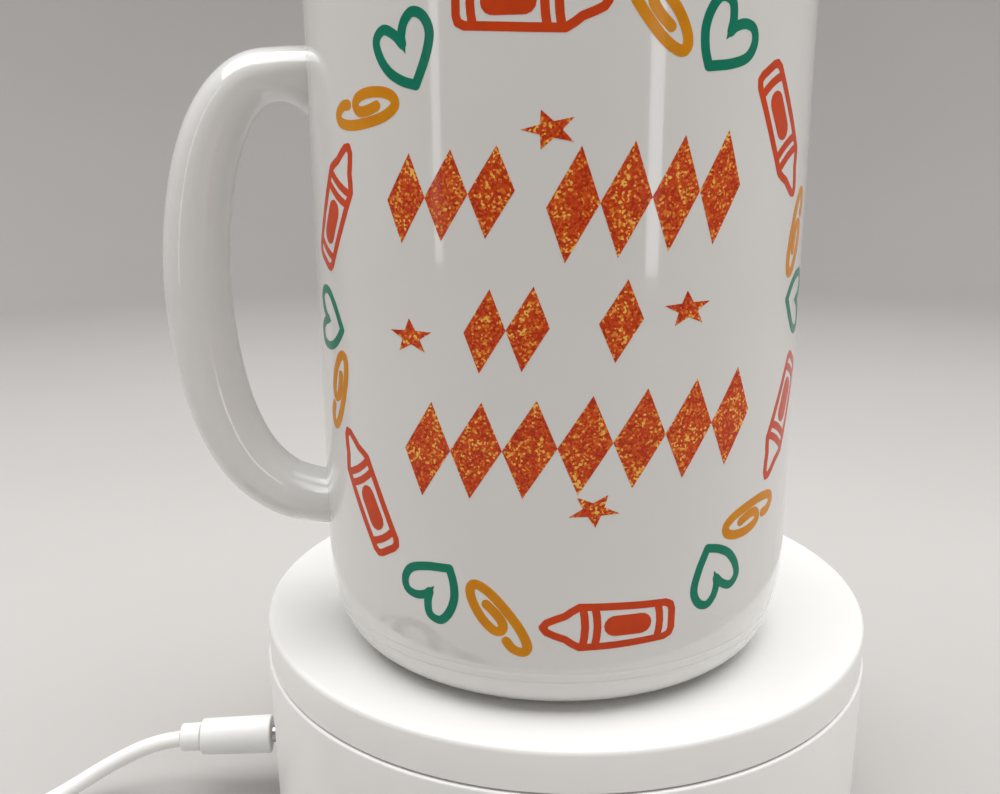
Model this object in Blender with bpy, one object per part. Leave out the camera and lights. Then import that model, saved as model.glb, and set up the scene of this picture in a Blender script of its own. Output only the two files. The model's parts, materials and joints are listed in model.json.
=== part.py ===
"""A glazed mug standing on a small motorised display turntable, with its USB power lead.

The model is in metres with +Z up, and the sizes below are in millimetres. The origin is on the
turntable's axis, at the surface that its feet stand on. -Y is the front, and the mug's handle and
the power jack are on the -X side.
"""

from math import acos, cos, pi, radians, sin, tan

import bmesh
import bpy
from mathutils import Vector, geometry

MM = 0.001
FIT = 0.3  # between pieces that touch
RUNNING = 0.12  # between a shaft and the bore that it turns in, on the radius

# Turntable casing
PLATTER_RADIUS = 60.0
PLATTER_TOP = 45.0
PLATTER_THICKNESS = 3.0
SKIRT_HEIGHT = 7.4
SKIRT_THICKNESS = 2.4
DISH_RADIUS, DISH_DEPTH = 46.0, 0.05
SEAM = 0.5
HOUSING_RADIUS = 60.0
WALL = 2.2
SHOULDER = 1.1
COVER_BOTTOM = 0.8
COVER_THICKNESS = 2.4
GATE_PAD_RADIUS, GATE_PAD_HEIGHT = 8.0, 0.2
FOOT_RADIUS, FOOT_THICKNESS, FOOT_CIRCLE = 5.2, 1.4, 48.0
FOOT_ANGLES = (45, 135, 225, 315)
COVER_SCREW_CIRCLE, COVER_SCREW_ANGLES, SCREW_SINK = 51.0, (30, 150, 270), 1.3
BOSS_RADIUS = 3.4

DECK_TOP = PLATTER_TOP - SKIRT_HEIGHT - SEAM
DECK_BOTTOM = DECK_TOP - WALL
PLATTER_UNDERSIDE = PLATTER_TOP - PLATTER_THICKNESS
COVER_TOP = COVER_BOTTOM + COVER_THICKNESS
WALL_INSIDE = HOUSING_RADIUS - WALL

# Fixings: shank radius and length, head radius and height
COVER_SCREW = (1.05, 8.5, 2.4, 0.9)
PLATE_SCREW = (0.85, 7.0, 2.0, 1.1)
MOTOR_SCREW = (0.65, 2.6, 1.6, 0.8)
BOARD_SCREW = (0.8, 4.0, 1.9, 1.0)

# Flanged bushes of the spindle
DECK_BUSH_RADIUS, DECK_BUSH_FLANGE = 4.0, 5.6
LOWER_BUSH_RADIUS, LOWER_BUSH_FLANGE = 3.2, 4.6
FLANGE_THICKNESS = 0.8

# Support rollers
ROLLER_RADIUS, ROLLER_WIDTH, ROLLER_CIRCLE = 4.0, 5.0, 45.0
ROLLER_ANGLES = (90, 210, 330)
ROLLER_AXIS_Z = PLATTER_UNDERSIDE - FIT - ROLLER_RADIUS
AXLE_RADIUS, AXLE_LENGTH = 0.8, 10.8
EAR_THICKNESS, EAR_WIDTH, EAR_TOP = 1.9, 4.4, ROLLER_AXIS_Z + 1.9
SIDE_PLAY = 0.4  # between a roller's end and the ear beside it

# Gear train, from the motor to the spindle. A stage is teeth and module.
PINION_TEETH, WHEEL_TEETH, FINE_MODULE = 10, 32, 0.8
LAST_PINION_TEETH, OUTPUT_TEETH, COARSE_MODULE = 10, 40, 1.0
PRESSURE_ANGLE = radians(25)
ADDENDUM, DEDENDUM, BACKLASH = 0.8, 1.05, 0.14
FINE_CENTRES = FINE_MODULE * (PINION_TEETH + WHEEL_TEETH) / 2
COARSE_CENTRES = COARSE_MODULE * (LAST_PINION_TEETH + OUTPUT_TEETH) / 2
SECOND_DIRECTION, FIRST_DIRECTION, MOTOR_DIRECTION = radians(70), radians(-10), radians(-80)
LAYER_A, LAYER_B, LAYER_C = (20.2, 23.6), (24.4, 27.8), (28.6, 32.4)
PLATE_BOTTOM, PLATE_TOP = 16.6, 18.2
PIN_RADIUS, PIN_TOP, PIN_BOSS_RADIUS = 1.0, 34.4, 3.0
SPINDLE_RADIUS, SPINDLE_FLAT = 2.0, 1.5
POSTS = ((-21.0, 14.0), (16.0, -20.0), (22.0, 38.0))
POST_RADIUS = 3.2

# Motor
MOTOR_RADIUS, MOTOR_LENGTH, MOTOR_BOTTOM = 12.2, 12.3, 4.0
MOTOR_TOP = MOTOR_BOTTOM + MOTOR_LENGTH
MOTOR_SKIN = 0.7
MOTOR_SHAFT_RADIUS = 1.0
MOTOR_SCREW_OFFSET = 8.0
ARMATURE_RADIUS = 8.6

# Power entry: the jack's axis leaves the wall level, at this angle about the turntable's axis
ENTRY_ANGLE, ENTRY_Z = radians(187), 12.7
JACK_NOSE_RADIUS = 2.9
BOARD_INNER, BOARD_OUTER, BOARD_WIDTH, BOARD_THICKNESS = 33.0, 53.5, 24.0, 1.6
JACK_HALF, JACK_BACK, JACK_FRONT, JACK_BORE = 3.3, 46.0, 55.6, 2.05
BOARD_TOP = ENTRY_Z - JACK_HALF
BOARD_SCREWS = ((43.0, -9.0), (43.0, 9.0))
CHIP_OUTWARDS, CHIP_ACROSS, CHIP_HEIGHT = (37.0, 42.0), (-2.0, 2.0), 1.6
HEADER_OUTWARDS, HEADER_ACROSS, HEADER_HEIGHT = (33.6, 38.6), (4.6, 10.6), 5.4
CAPACITOR_PLACE, CAPACITOR_RADIUS, CAPACITOR_HEIGHT = (49.6, 7.4), 2.5, 6.0
PLUG_FACE, PLUG_LENGTH, PLUG_RADIUS = 61.7, 14.5, 3.85
COLLAR_LENGTH, COLLAR_RADIUS = 4.0, 2.85

# Three-position slide switch at the back
SWITCH_Z, SWITCH_WIDTH, SWITCH_BODY = 14.0, 8.6, 3.6
KNOB_WIDTH, KNOB_HEIGHT, KNOB_TRAVEL = 2.4, 1.8, 2.0
WIRE_DIAMETER = 1.2

# Power lead
CABLE_DIAMETER = 3.3
COIL_CENTRE = (-93.8, -60.0)
COIL_TURNS_ACROSS, COIL_LAYERS = 4, 2
COIL_INNER_TURN, TURN_PITCH = 13.6, 3.4
LEAD_ROUTE = (
    (-80.1, -9.9, 12.4),
    (-84.0, -10.4, 11.8),
    (-88.0, -11.0, 10.6),
    (-92.2, -11.9, 8.8),
    (-96.4, -13.1, 6.7),
    (-100.5, -14.9, 4.6),
    (-104.5, -17.4, 2.9),
    (-108.3, -20.6, 2.0),
    (-111.6, -24.8, 1.75),
    (-114.4, -29.6, 1.75),
    (-116.4, -35.0, 1.75),
    (-117.4, -41.0, 1.75),
    (-117.6, -46.7, 1.75),
)
TAIL_ROUTE = ((-80.2, -83.8, 5.1), (-76.0, -83.8, 5.0), (-71.0, -83.8, 4.6), (-66.3, -83.8, 4.4))
USB_BODY_START, USB_BODY_LENGTH, USB_BODY_WIDTH, USB_BODY_HEIGHT = -66.0, 20.0, 15.5, 8.0
USB_SHELL_LENGTH, USB_SHELL_WIDTH, USB_SHELL_HEIGHT, USB_SKIN = 14.0, 12.0, 4.5, 0.4
USB_Z = 4.4

# Mug: its axis stands a little off the turntable's
MUG_X, MUG_Y = -1.6, -9.4
MUG_BOTTOM = PLATTER_TOP + FIT
MUG_TOP = 165.0
MUG_RADIUS, MUG_WALL = 43.2, 4.4
HANDLE_ANGLE = radians(188)
HANDLE_ROUTE = (  # distance from the mug's axis, half thickness, and height
    (41.0, 4.2, 146.9),
    (47.5, 4.4, 146.6),
    (53.2, 4.8, 145.2),
    (58.0, 5.2, 140.0),
    (61.5, 5.5, 131.8),
    (63.7, 5.7, 121.1),
    (64.5, 5.8, 109.8),
    (63.7, 5.8, 97.8),
    (61.4, 5.7, 86.7),
    (57.4, 5.5, 78.0),
    (51.9, 5.2, 72.5),
    (46.1, 5.0, 70.2),
    (40.9, 4.9, 69.5),
)
HANDLE_HALF_WIDTH = 7.3

LOOKS = {  # colour, roughness, metallic
    "white_shell": ((0.86, 0.86, 0.87), 0.32, 0.0),
    "white_glaze": ((0.84, 0.85, 0.86), 0.10, 0.0),
    "white_cable": ((0.84, 0.85, 0.84), 0.42, 0.0),
    "black_rubber": ((0.03, 0.03, 0.03), 0.80, 0.0),
    "natural_nylon": ((0.80, 0.77, 0.68), 0.45, 0.0),
    "black_plastic": ((0.03, 0.03, 0.035), 0.40, 0.0),
    "steel": ((0.55, 0.55, 0.56), 0.30, 1.0),
    "brass": ((0.66, 0.47, 0.20), 0.30, 1.0),
    "copper_winding": ((0.50, 0.20, 0.09), 0.35, 1.0),
    "ferrite": ((0.10, 0.10, 0.11), 0.60, 0.0),
    "green_board": ((0.03, 0.16, 0.08), 0.40, 0.0),
    "red_wire": ((0.55, 0.03, 0.02), 0.40, 0.0),
    "black_wire": ((0.02, 0.02, 0.02), 0.40, 0.0),
}


# Meshes, materials and placing


def clear_scene():
    for thing in list(bpy.data.objects):
        bpy.data.objects.remove(thing)


def look(name):
    """The material of that name, made the first time that it is asked for."""
    if name in bpy.data.materials:
        return bpy.data.materials[name]
    colour, roughness, metallic = LOOKS[name]
    material = bpy.data.materials.new(name)
    material.use_nodes = True
    shader = material.node_tree.nodes["Principled BSDF"]
    shader.inputs["Base Color"].default_value = (*colour, 1.0)
    shader.inputs["Roughness"].default_value = roughness
    shader.inputs["Metallic"].default_value = metallic
    return material


def add(name, bm, look_name=None):
    """An object that holds a finished bmesh."""
    bmesh.ops.recalc_face_normals(bm, faces=bm.faces)
    mesh = bpy.data.meshes.new(name)
    bm.to_mesh(mesh)
    bm.free()
    mesh.shade_smooth()
    mesh.set_sharp_from_angle(angle=radians(32))
    thing = bpy.data.objects.new(name, mesh)
    bpy.context.collection.objects.link(thing)
    if look_name:
        mesh.materials.append(look(look_name))
    return thing


def place(thing, x=0.0, y=0.0, z=0.0, turn=0.0):
    """Moves an object and turns it about +Z."""
    thing.location = (x * MM, y * MM, z * MM)
    thing.rotation_euler = (0.0, 0.0, turn)
    return thing


def point_outwards(thing, angle, z):
    """Lays an object's own Z axis level, pointing away from the turntable's axis at that angle."""
    thing.location = (0.0, 0.0, z * MM)
    thing.rotation_euler = (0.0, pi / 2, angle)
    return thing


def polar(radius, angle):
    return radius * cos(angle), radius * sin(angle)


def in_entry(outwards, across):
    """The place at that distance along the jack's direction, and across it."""
    x, y = polar(outwards, ENTRY_ANGLE)
    return x - across * sin(ENTRY_ANGLE), y + across * cos(ENTRY_ANGLE)


def turned(name, profile, segments, look_name=None):
    """A body turned about Z from (radius, height) points. A profile that starts off the axis is a ring."""
    bm = bmesh.new()
    rings = []
    for radius, height in profile:
        count = segments if radius > 0 else 1
        steps = [polar(radius * MM, 2 * pi * i / segments) for i in range(count)]
        rings.append([bm.verts.new((x, y, height * MM)) for x, y in steps])
    pairs = list(zip(rings, rings[1:]))
    if len(rings[0]) > 1:
        pairs.append((rings[-1], rings[0]))
    for first, second in pairs:
        for i in range(segments):
            j = (i + 1) % segments
            corners = [first[i % len(first)], first[j % len(first)]]
            corners += [second[j % len(second)], second[i % len(second)]]
            bm.faces.new(list(dict.fromkeys(corners)))
    return add(name, bm, look_name)


def prism(name, outline, low, high, look_name=None):
    """An upright body with that outline."""
    bm = bmesh.new()
    base = bm.faces.new([bm.verts.new((x * MM, y * MM, low * MM)) for x, y in outline])
    top = bmesh.ops.extrude_face_region(bm, geom=[base])["geom"]
    corners = [item for item in top if isinstance(item, bmesh.types.BMVert)]
    bmesh.ops.translate(bm, verts=corners, vec=(0, 0, (high - low) * MM))
    return add(name, bm, look_name)


def box(name, x, y, z, look_name=None, bevel=0.0):
    """A box between the two limits given for each direction."""
    corners = ((x[0], y[0]), (x[1], y[0]), (x[1], y[1]), (x[0], y[1]))
    thing = prism(name, corners, z[0], z[1], look_name)
    if bevel:
        edges = thing.modifiers.new("edges", "BEVEL")
        edges.width = bevel * MM
        edges.segments = 1
    return thing


def circle(radius, segments, x=0.0, y=0.0):
    steps = [polar(radius, 2 * pi * i / segments) for i in range(segments)]
    return [(x + dx, y + dy) for dx, dy in steps]


def rod(name, radius, low, high, segments=12, look_name=None):
    return prism(name, circle(radius, segments), low, high, look_name)


def combine(thing, other, operation):
    """Joins the other object to this one, or cuts this one with it, and removes the other."""
    step = thing.modifiers.new("step", "BOOLEAN")
    step.operation = operation
    step.object = other
    bpy.context.view_layer.update()
    graph = bpy.context.evaluated_depsgraph_get()
    result = bpy.data.meshes.new_from_object(thing.evaluated_get(graph))
    thing.modifiers.clear()
    thing.data = result
    bpy.data.objects.remove(other)


def join(thing, *others):
    for other in others:
        combine(thing, other, "UNION")
    return thing


def cut(thing, *others):
    for other in others:
        combine(thing, other, "DIFFERENCE")
    return thing


def smooth_route(points, steps):
    """Points on a smooth curve through these, with that many steps from each to the next."""
    points = [Vector(p) for p in points]
    ends = [2 * points[0] - points[1]] + points + [2 * points[-1] - points[-2]]
    line = []
    for a, b, c, d in zip(ends, ends[1:], ends[2:], ends[3:]):
        for i in range(steps):
            t = i / steps
            bend = 2 * a - 5 * b + 4 * c - d
            twist = 3 * b - a - 3 * c + d
            line.append((2 * b + (c - a) * t + bend * t**2 + twist * t**3) / 2)
    return line + [points[-1]]


def cable(name, route, diameter, look_name, steps=1):
    """A round cable along a smooth curve through the route's points."""
    curve = bpy.data.curves.new(name, "CURVE")
    curve.dimensions = "3D"
    curve.bevel_depth = diameter / 2 * MM
    curve.bevel_resolution = 2
    curve.use_fill_caps = True
    line = smooth_route(route, steps)
    spline = curve.splines.new("POLY")
    spline.points.add(len(line) - 1)
    for point, at in zip(spline.points, line):
        point.co = (*(at * MM), 1.0)
    thing = bpy.data.objects.new(name, curve)
    bpy.context.collection.objects.link(thing)
    curve.materials.append(look(look_name))
    return thing


def screw(name, size, under_head, up=True):
    """A pan-head screw with a hexagonal drive. Its shank points up from under_head, or down."""
    shank_radius, shank_length, head_radius, head_height = size
    way = 1 if up else -1
    profile = (
        (0.0, -head_height),
        (head_radius * 0.7, -head_height),
        (head_radius, -head_height * 0.45),
        (head_radius, 0.0),
        (shank_radius, 0.0),
        (shank_radius, shank_length - shank_radius),
        (0.0, shank_length),
    )
    thing = turned(name, [(r, under_head + way * h) for r, h in profile], 10, "steel")
    ends = sorted((under_head - way * (head_height + 1), under_head - way * head_height * 0.45))
    return cut(thing, rod("drive", head_radius * 0.4, *ends, segments=6))


# Gears


def involute(angle):
    return tan(angle) - angle


def gear_outline(teeth, module, tooth_at):
    """A gear's outline, with the middle of a tooth at the angle tooth_at."""
    pitch = module * teeth / 2
    base = pitch * cos(PRESSURE_ANGLE)
    half_at_pitch = (module * pi / 2 - BACKLASH) / 2 / pitch
    root = pitch - DEDENDUM * module
    tip = pitch + ADDENDUM * module
    middle = max(pitch, base)
    radii = (root, middle, tip) if teeth < 20 else (root, tip)

    def half(radius):
        flank = involute(acos(min(1.0, base / max(radius, base))))
        return half_at_pitch + involute(PRESSURE_ANGLE) - flank

    outline = []
    for tooth in range(teeth):
        centre = tooth_at + 2 * pi * tooth / teeth
        outline += [polar(r, centre - half(r)) for r in radii]
        outline += [polar(r, centre + half(r)) for r in reversed(radii)]
    return outline


def facing_gap(direction, teeth):
    """The angle of a tooth beside the gap that faces back along the direction."""
    return direction + pi + pi / teeth


# Turntable


def make_roller_seat(housing, angle):
    """Two ears on the deck that hold a roller's axle, and the slot that the roller dips into."""
    half = ROLLER_WIDTH / 2 + SIDE_PLAY
    ears = []
    for side in (-1, 1):
        near, far = sorted((side * half, side * (half + EAR_THICKNESS)))
        reach = (ROLLER_CIRCLE + near, ROLLER_CIRCLE + far)
        ear = box("ear", reach, (-EAR_WIDTH / 2, EAR_WIDTH / 2), (DECK_TOP - 1.0, EAR_TOP))
        ears.append(place(ear, turn=angle))
    join(housing, *ears)
    across = ROLLER_RADIUS + 0.9
    reach = (ROLLER_CIRCLE - half, ROLLER_CIRCLE + half)
    slot = box("slot", reach, (-across, across), (DECK_BOTTOM - 1, EAR_TOP + 1))
    hole_ends = (ROLLER_CIRCLE - AXLE_LENGTH / 2 - 2, ROLLER_CIRCLE + AXLE_LENGTH / 2 + 2)
    hole = rod("hole", AXLE_RADIUS + FIT, *hole_ends, segments=12)
    cut(housing, place(slot, turn=angle), point_outwards(hole, angle, ROLLER_AXIS_Z))


def make_base_housing(pins):
    """The tub: side wall, deck, bush boss, screw bosses, gear posts and the seats of the rollers."""
    bush_hole = DECK_BUSH_RADIUS + FIT
    housing = turned(
        "base_housing",
        (
            (HOUSING_RADIUS - 0.5, COVER_BOTTOM),
            (HOUSING_RADIUS, COVER_BOTTOM + 0.5),
            (HOUSING_RADIUS, DECK_TOP - SHOULDER),
            (HOUSING_RADIUS - 0.35 * SHOULDER, DECK_TOP - 0.3 * SHOULDER),
            (HOUSING_RADIUS - SHOULDER, DECK_TOP),
            (bush_hole, DECK_TOP),
            (bush_hole, DECK_BOTTOM - 1.3),
            (bush_hole + 3, DECK_BOTTOM - 1.3),
            (bush_hole + 3, DECK_BOTTOM),
            (WALL_INSIDE - 0.8, DECK_BOTTOM),
            (WALL_INSIDE, DECK_BOTTOM - 0.8),
            (WALL_INSIDE, COVER_BOTTOM),
        ),
        60,
        "white_shell",
    )
    in_deck = DECK_BOTTOM + 0.8
    for angle in map(radians, COVER_SCREW_ANGLES):
        x, y = polar(COVER_SCREW_CIRCLE, angle)
        join(housing, place(rod("boss", BOSS_RADIUS, COVER_TOP + FIT, in_deck), x, y))
        cut(housing, place(rod("pilot", 1.35, COVER_TOP - 1, COVER_TOP + 10, 10), x, y))
    for x, y in POSTS:
        join(housing, place(rod("post", POST_RADIUS, PLATE_TOP + FIT, in_deck), x, y))
        cut(housing, place(rod("pilot", 1.1, PLATE_TOP - 1, PLATE_TOP + 8, 10), x, y))
    for (x, y), top_of_gear in zip(pins, (LAYER_B[1], LAYER_C[1])):
        boss = rod("boss", PIN_BOSS_RADIUS, top_of_gear + 0.8, in_deck)
        hole = rod("hole", PIN_RADIUS + FIT, top_of_gear - 1, PIN_TOP + FIT, 12)
        cut(join(housing, place(boss, x, y)), place(hole, x, y))
    for angle in map(radians, ROLLER_ANGLES):
        make_roller_seat(housing, angle)
    nose = rod("nose", JACK_NOSE_RADIUS + FIT, WALL_INSIDE - 1, HOUSING_RADIUS + 1, 20)
    reach = KNOB_WIDTH / 2 + KNOB_TRAVEL + 0.4
    high = KNOB_HEIGHT / 2 + 0.4
    walls = (WALL_INSIDE - 1, HOUSING_RADIUS + 1)
    slot = box("slot", (-reach, reach), walls, (SWITCH_Z - high, SWITCH_Z + high))
    return cut(housing, point_outwards(nose, ENTRY_ANGLE, ENTRY_Z), slot)


def make_bottom_cover():
    """The floor of the casing, with foot recesses, screw holes, board posts and switch cradle."""
    rim = WALL_INSIDE - 0.4
    cover = turned(
        "bottom_cover",
        (
            (0.0, COVER_BOTTOM - GATE_PAD_HEIGHT),
            (GATE_PAD_RADIUS, COVER_BOTTOM - GATE_PAD_HEIGHT),
            (GATE_PAD_RADIUS, COVER_BOTTOM),
            (rim - 0.4, COVER_BOTTOM),
            (rim, COVER_BOTTOM + 0.4),
            (rim, COVER_TOP),
            (0.0, COVER_TOP),
        ),
        40,
        "white_shell",
    )
    for angle in map(radians, FOOT_ANGLES):
        recess = rod("recess", FOOT_RADIUS + 0.5, 0, FOOT_THICKNESS + FIT, 20)
        cut(cover, place(recess, *polar(FOOT_CIRCLE, angle)))
    for angle in map(radians, COVER_SCREW_ANGLES):
        sink = COVER_BOTTOM + SCREW_SINK
        profile = ((0, 0), (2.9, 0), (2.9, sink), (1.65, sink), (1.65, COVER_TOP + 1))
        hole = turned("hole", (*profile, (0, COVER_TOP + 1)), 16)
        cut(cover, place(hole, *polar(COVER_SCREW_CIRCLE, angle)))
    for outwards, across in BOARD_SCREWS:
        x, y = in_entry(outwards, across)
        post_top = BOARD_TOP - BOARD_THICKNESS - FIT
        join(cover, place(rod("post", 2.4, COVER_TOP - 0.8, post_top, 12), x, y))
        cut(cover, place(rod("pilot", 1.1, COVER_TOP + 0.4, post_top + 1, 10), x, y))
    cradle_front = WALL_INSIDE - 0.4 - SWITCH_BODY - 0.6
    cradle_top = SWITCH_Z - SWITCH_BODY / 2 - FIT
    across = (-SWITCH_WIDTH / 2 - 1, SWITCH_WIDTH / 2 + 1)
    cradle = box("cradle", across, (cradle_front, WALL_INSIDE - 1.3), (COVER_TOP - 0.8, cradle_top))
    return join(cover, cradle)


def make_feet_and_cover_screws():
    for number, angle in enumerate(map(radians, FOOT_ANGLES), 1):
        profile = ((0, 0), (FOOT_RADIUS - 0.5, 0), (FOOT_RADIUS, 0.5), (FOOT_RADIUS, FOOT_THICKNESS))
        foot = turned(f"foot_{number}", (*profile, (0, FOOT_THICKNESS)), 20, "black_rubber")
        place(foot, *polar(FOOT_CIRCLE, angle))
    for number, angle in enumerate(map(radians, COVER_SCREW_ANGLES), 1):
        head_seat = COVER_BOTTOM + SCREW_SINK - FIT
        fixing = screw(f"cover_screw_{number}", COVER_SCREW, head_seat)
        place(fixing, *polar(COVER_SCREW_CIRCLE, angle))


def make_platter():
    """The turning top, with its skirt, hub and a faint dish under what stands on it."""
    bottom = DECK_TOP + SEAM
    inside = PLATTER_RADIUS - SKIRT_THICKNESS
    hub_radius, hub_bottom = 7.5, 38.9
    platter = turned(
        "platter",
        (
            (0.0, PLATTER_TOP - DISH_DEPTH),
            (DISH_RADIUS, PLATTER_TOP - DISH_DEPTH),
            (DISH_RADIUS + 0.2, PLATTER_TOP),
            (PLATTER_RADIUS - 0.9, PLATTER_TOP),
            (PLATTER_RADIUS - 0.25, PLATTER_TOP - 0.3),
            (PLATTER_RADIUS, PLATTER_TOP - 0.9),
            (PLATTER_RADIUS, bottom + 0.3),
            (PLATTER_RADIUS - 0.3, bottom),
            (inside, bottom),
            (inside, PLATTER_UNDERSIDE),
            (hub_radius, PLATTER_UNDERSIDE),
            (hub_radius, hub_bottom),
            (0.0, hub_bottom),
        ),
        60,
        "white_shell",
    )
    return cut(platter, make_spindle_end("socket", FIT, hub_bottom - 1, PLATTER_TOP - 2.0))


def make_spindle_end(name, extra, low, high):
    """The spindle's flatted top, grown by extra on every side."""
    end = rod(name, SPINDLE_RADIUS + extra, low, high, 24)
    flat = box("flat", (SPINDLE_FLAT + extra, 9), (-9, 9), (low - 1, high + 1))
    return cut(end, flat)


def make_spindle():
    spindle = rod("spindle", SPINDLE_RADIUS, PLATE_BOTTOM - 0.4, PLATTER_TOP - 2.4, 24, "steel")
    flat = box("flat", (SPINDLE_FLAT, 9), (-9, 9), (DECK_TOP + 1.2, PLATTER_TOP))
    return cut(spindle, flat)


def make_bush(name, body, flange, bottom, seat):
    """A flanged bush for the spindle. Its flange is on top, just above what it rests on."""
    bore = SPINDLE_RADIUS + RUNNING
    top = seat + FIT + FLANGE_THICKNESS
    flange_bottom = top - FLANGE_THICKNESS
    profile = ((bore, bottom), (body, bottom), (body, flange_bottom), (flange, flange_bottom))
    return turned(name, (*profile, (flange, top), (bore, top)), 16, "brass")


def make_rollers():
    for number, angle in enumerate(map(radians, ROLLER_ANGLES), 1):
        half = ROLLER_WIDTH / 2
        bore = AXLE_RADIUS + RUNNING
        edge = ROLLER_RADIUS - 0.4
        profile = (
            (bore, -half),
            (edge, -half),
            (ROLLER_RADIUS, 0.4 - half),
            (ROLLER_RADIUS, half - 0.4),
            (edge, half),
            (bore, half),
        )
        roller = turned(f"roller_{number}", profile, 16, "natural_nylon")
        axle = rod(f"roller_axle_{number}", AXLE_RADIUS, -AXLE_LENGTH / 2, AXLE_LENGTH / 2, 12, "steel")
        for piece in (roller, axle):
            point_outwards(piece, angle, ROLLER_AXIS_Z)
            x, y = polar(ROLLER_CIRCLE, angle)
            piece.location = (x * MM, y * MM, ROLLER_AXIS_Z * MM)


# Gear train and motor


def train_places():
    """The axes of the two compound gears and of the motor."""
    second = Vector(polar(COARSE_CENTRES, SECOND_DIRECTION))
    first = second + Vector(polar(FINE_CENTRES, FIRST_DIRECTION))
    motor = first + Vector(polar(FINE_CENTRES, MOTOR_DIRECTION))
    return tuple(first), tuple(second), tuple(motor)


def make_compound_gear(name, at, wheel_tooth, wheel_layer, pinion, top):
    """A wheel with a pinion above it and a spacer below it, on one bore. pinion is teeth, module
    and the angle of a tooth."""
    wheel = prism(name, gear_outline(WHEEL_TEETH, FINE_MODULE, wheel_tooth), *wheel_layer, "natural_nylon")
    upper = prism("pinion", gear_outline(*pinion), wheel_layer[1] - 0.6, top)
    spacer = rod("spacer", 2.5, PLATE_TOP + FIT, wheel_layer[0] + 0.6)
    bore = rod("bore", PIN_RADIUS + RUNNING, PLATE_TOP - 1, top + 1)
    return place(cut(join(wheel, upper, spacer), bore), *at)


def make_gears(first, second):
    output = prism(
        "output_gear",
        gear_outline(OUTPUT_TEETH, COARSE_MODULE, SECOND_DIRECTION),
        *LAYER_C,
        "natural_nylon",
    )
    cut(output, rod("bore", SPINDLE_RADIUS + FIT, LAYER_C[0] - 1, LAYER_C[1] + 1, 24))
    last_pinion = (LAST_PINION_TEETH, COARSE_MODULE, facing_gap(SECOND_DIRECTION, LAST_PINION_TEETH))
    make_compound_gear("compound_gear_2", second, FIRST_DIRECTION, LAYER_B, last_pinion, LAYER_C[1])
    first_pinion = (PINION_TEETH, FINE_MODULE, facing_gap(FIRST_DIRECTION, PINION_TEETH))
    make_compound_gear("compound_gear_1", first, MOTOR_DIRECTION, LAYER_A, first_pinion, LAYER_B[1])
    for number, at in enumerate((first, second), 1):
        place(rod(f"gear_pin_{number}", PIN_RADIUS, PLATE_BOTTOM - 0.3, PIN_TOP, 16, "steel"), *at)


def make_gear_plate(first, second, motor):
    """The lower plate that carries the pins, the lower bush and the motor."""
    reach = [(post, 4.2) for post in POSTS] + [((0, 0), 8.0), (motor, 12.0), (first, 4.0)]
    points = [Vector(p) for (x, y), radius in reach for p in circle(radius, 16, x, y)]
    order = geometry.convex_hull_2d(points)
    plate = prism("gear_plate", [tuple(points[i]) for i in order], PLATE_BOTTOM, PLATE_TOP, "steel")
    low, high = PLATE_BOTTOM - 1, PLATE_TOP + 1
    holes = [(post, 1.4) for post in POSTS] + [((0, 0), LOWER_BUSH_RADIUS + FIT)]
    holes += [(first, PIN_RADIUS + FIT), (second, PIN_RADIUS + FIT), (motor, 3.4)]
    for at in motor_screw_places(motor):
        holes.append((at, 1.1))
    for at, radius in holes:
        cut(plate, place(rod("hole", radius, low, high, 12), *at))
    for number, at in enumerate(POSTS, 1):
        place(screw(f"plate_screw_{number}", PLATE_SCREW, PLATE_BOTTOM - FIT), *at)


def motor_screw_places(motor):
    step = Vector(polar(MOTOR_SCREW_OFFSET, FIRST_DIRECTION + pi / 6))
    return tuple(Vector(motor) + step), tuple(Vector(motor) - step)


def make_motor(motor):
    """A flat can motor, shaft up, screwed to the plate from above."""
    inside = MOTOR_RADIUS - MOTOR_SKIN
    can_bottom = MOTOR_BOTTOM + 1.9
    shaft_hole = MOTOR_SHAFT_RADIUS + RUNNING
    can = turned(
        "motor_can",
        (
            (inside, can_bottom),
            (MOTOR_RADIUS, can_bottom),
            (MOTOR_RADIUS, MOTOR_TOP - 0.8),
            (MOTOR_RADIUS - 0.8, MOTOR_TOP - FIT),
            (3.0, MOTOR_TOP - FIT),
            (3.0, PLATE_TOP - 0.3),
            (shaft_hole, PLATE_TOP - 0.3),
            (shaft_hole, MOTOR_TOP - 1.4),
            (inside, MOTOR_TOP - 1.4),
        ),
        24,
        "steel",
    )
    for number, (x, y) in enumerate(motor_screw_places(motor), 1):
        hole = rod("hole", 0.95, MOTOR_TOP - 3, MOTOR_TOP + 1, 10)
        cut(can, place(hole, x - motor[0], y - motor[1]))
        fixing = screw(f"motor_screw_{number}", MOTOR_SCREW, PLATE_TOP + FIT, up=False)
        place(fixing, x, y)
    place(can, *motor)
    cap_inside = inside - FIT
    cap = turned(
        "motor_end_cap",
        (
            (0.0, MOTOR_BOTTOM),
            (MOTOR_RADIUS - 0.5, MOTOR_BOTTOM),
            (MOTOR_RADIUS, MOTOR_BOTTOM + 0.5),
            (MOTOR_RADIUS, can_bottom - FIT),
            (cap_inside, can_bottom - FIT),
            (cap_inside, can_bottom + 0.9),
            (MOTOR_SHAFT_RADIUS + RUNNING, can_bottom + 0.9),
            (MOTOR_SHAFT_RADIUS + RUNNING, MOTOR_BOTTOM + 1.0),
            (0.0, MOTOR_BOTTOM + 1.0),
        ),
        24,
        "black_plastic",
    )
    place(cap, *motor)
    low, high = can_bottom + 1.4, MOTOR_TOP - 1.9
    outer, inner = inside - FIT, ARMATURE_RADIUS + 0.6
    magnet_profile = ((inner, low), (outer, low), (outer, high), (inner, high))
    place(turned("motor_magnet", magnet_profile, 24, "ferrite"), *motor)
    make_rotor(motor, low + 0.6, high - 0.6)


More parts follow.
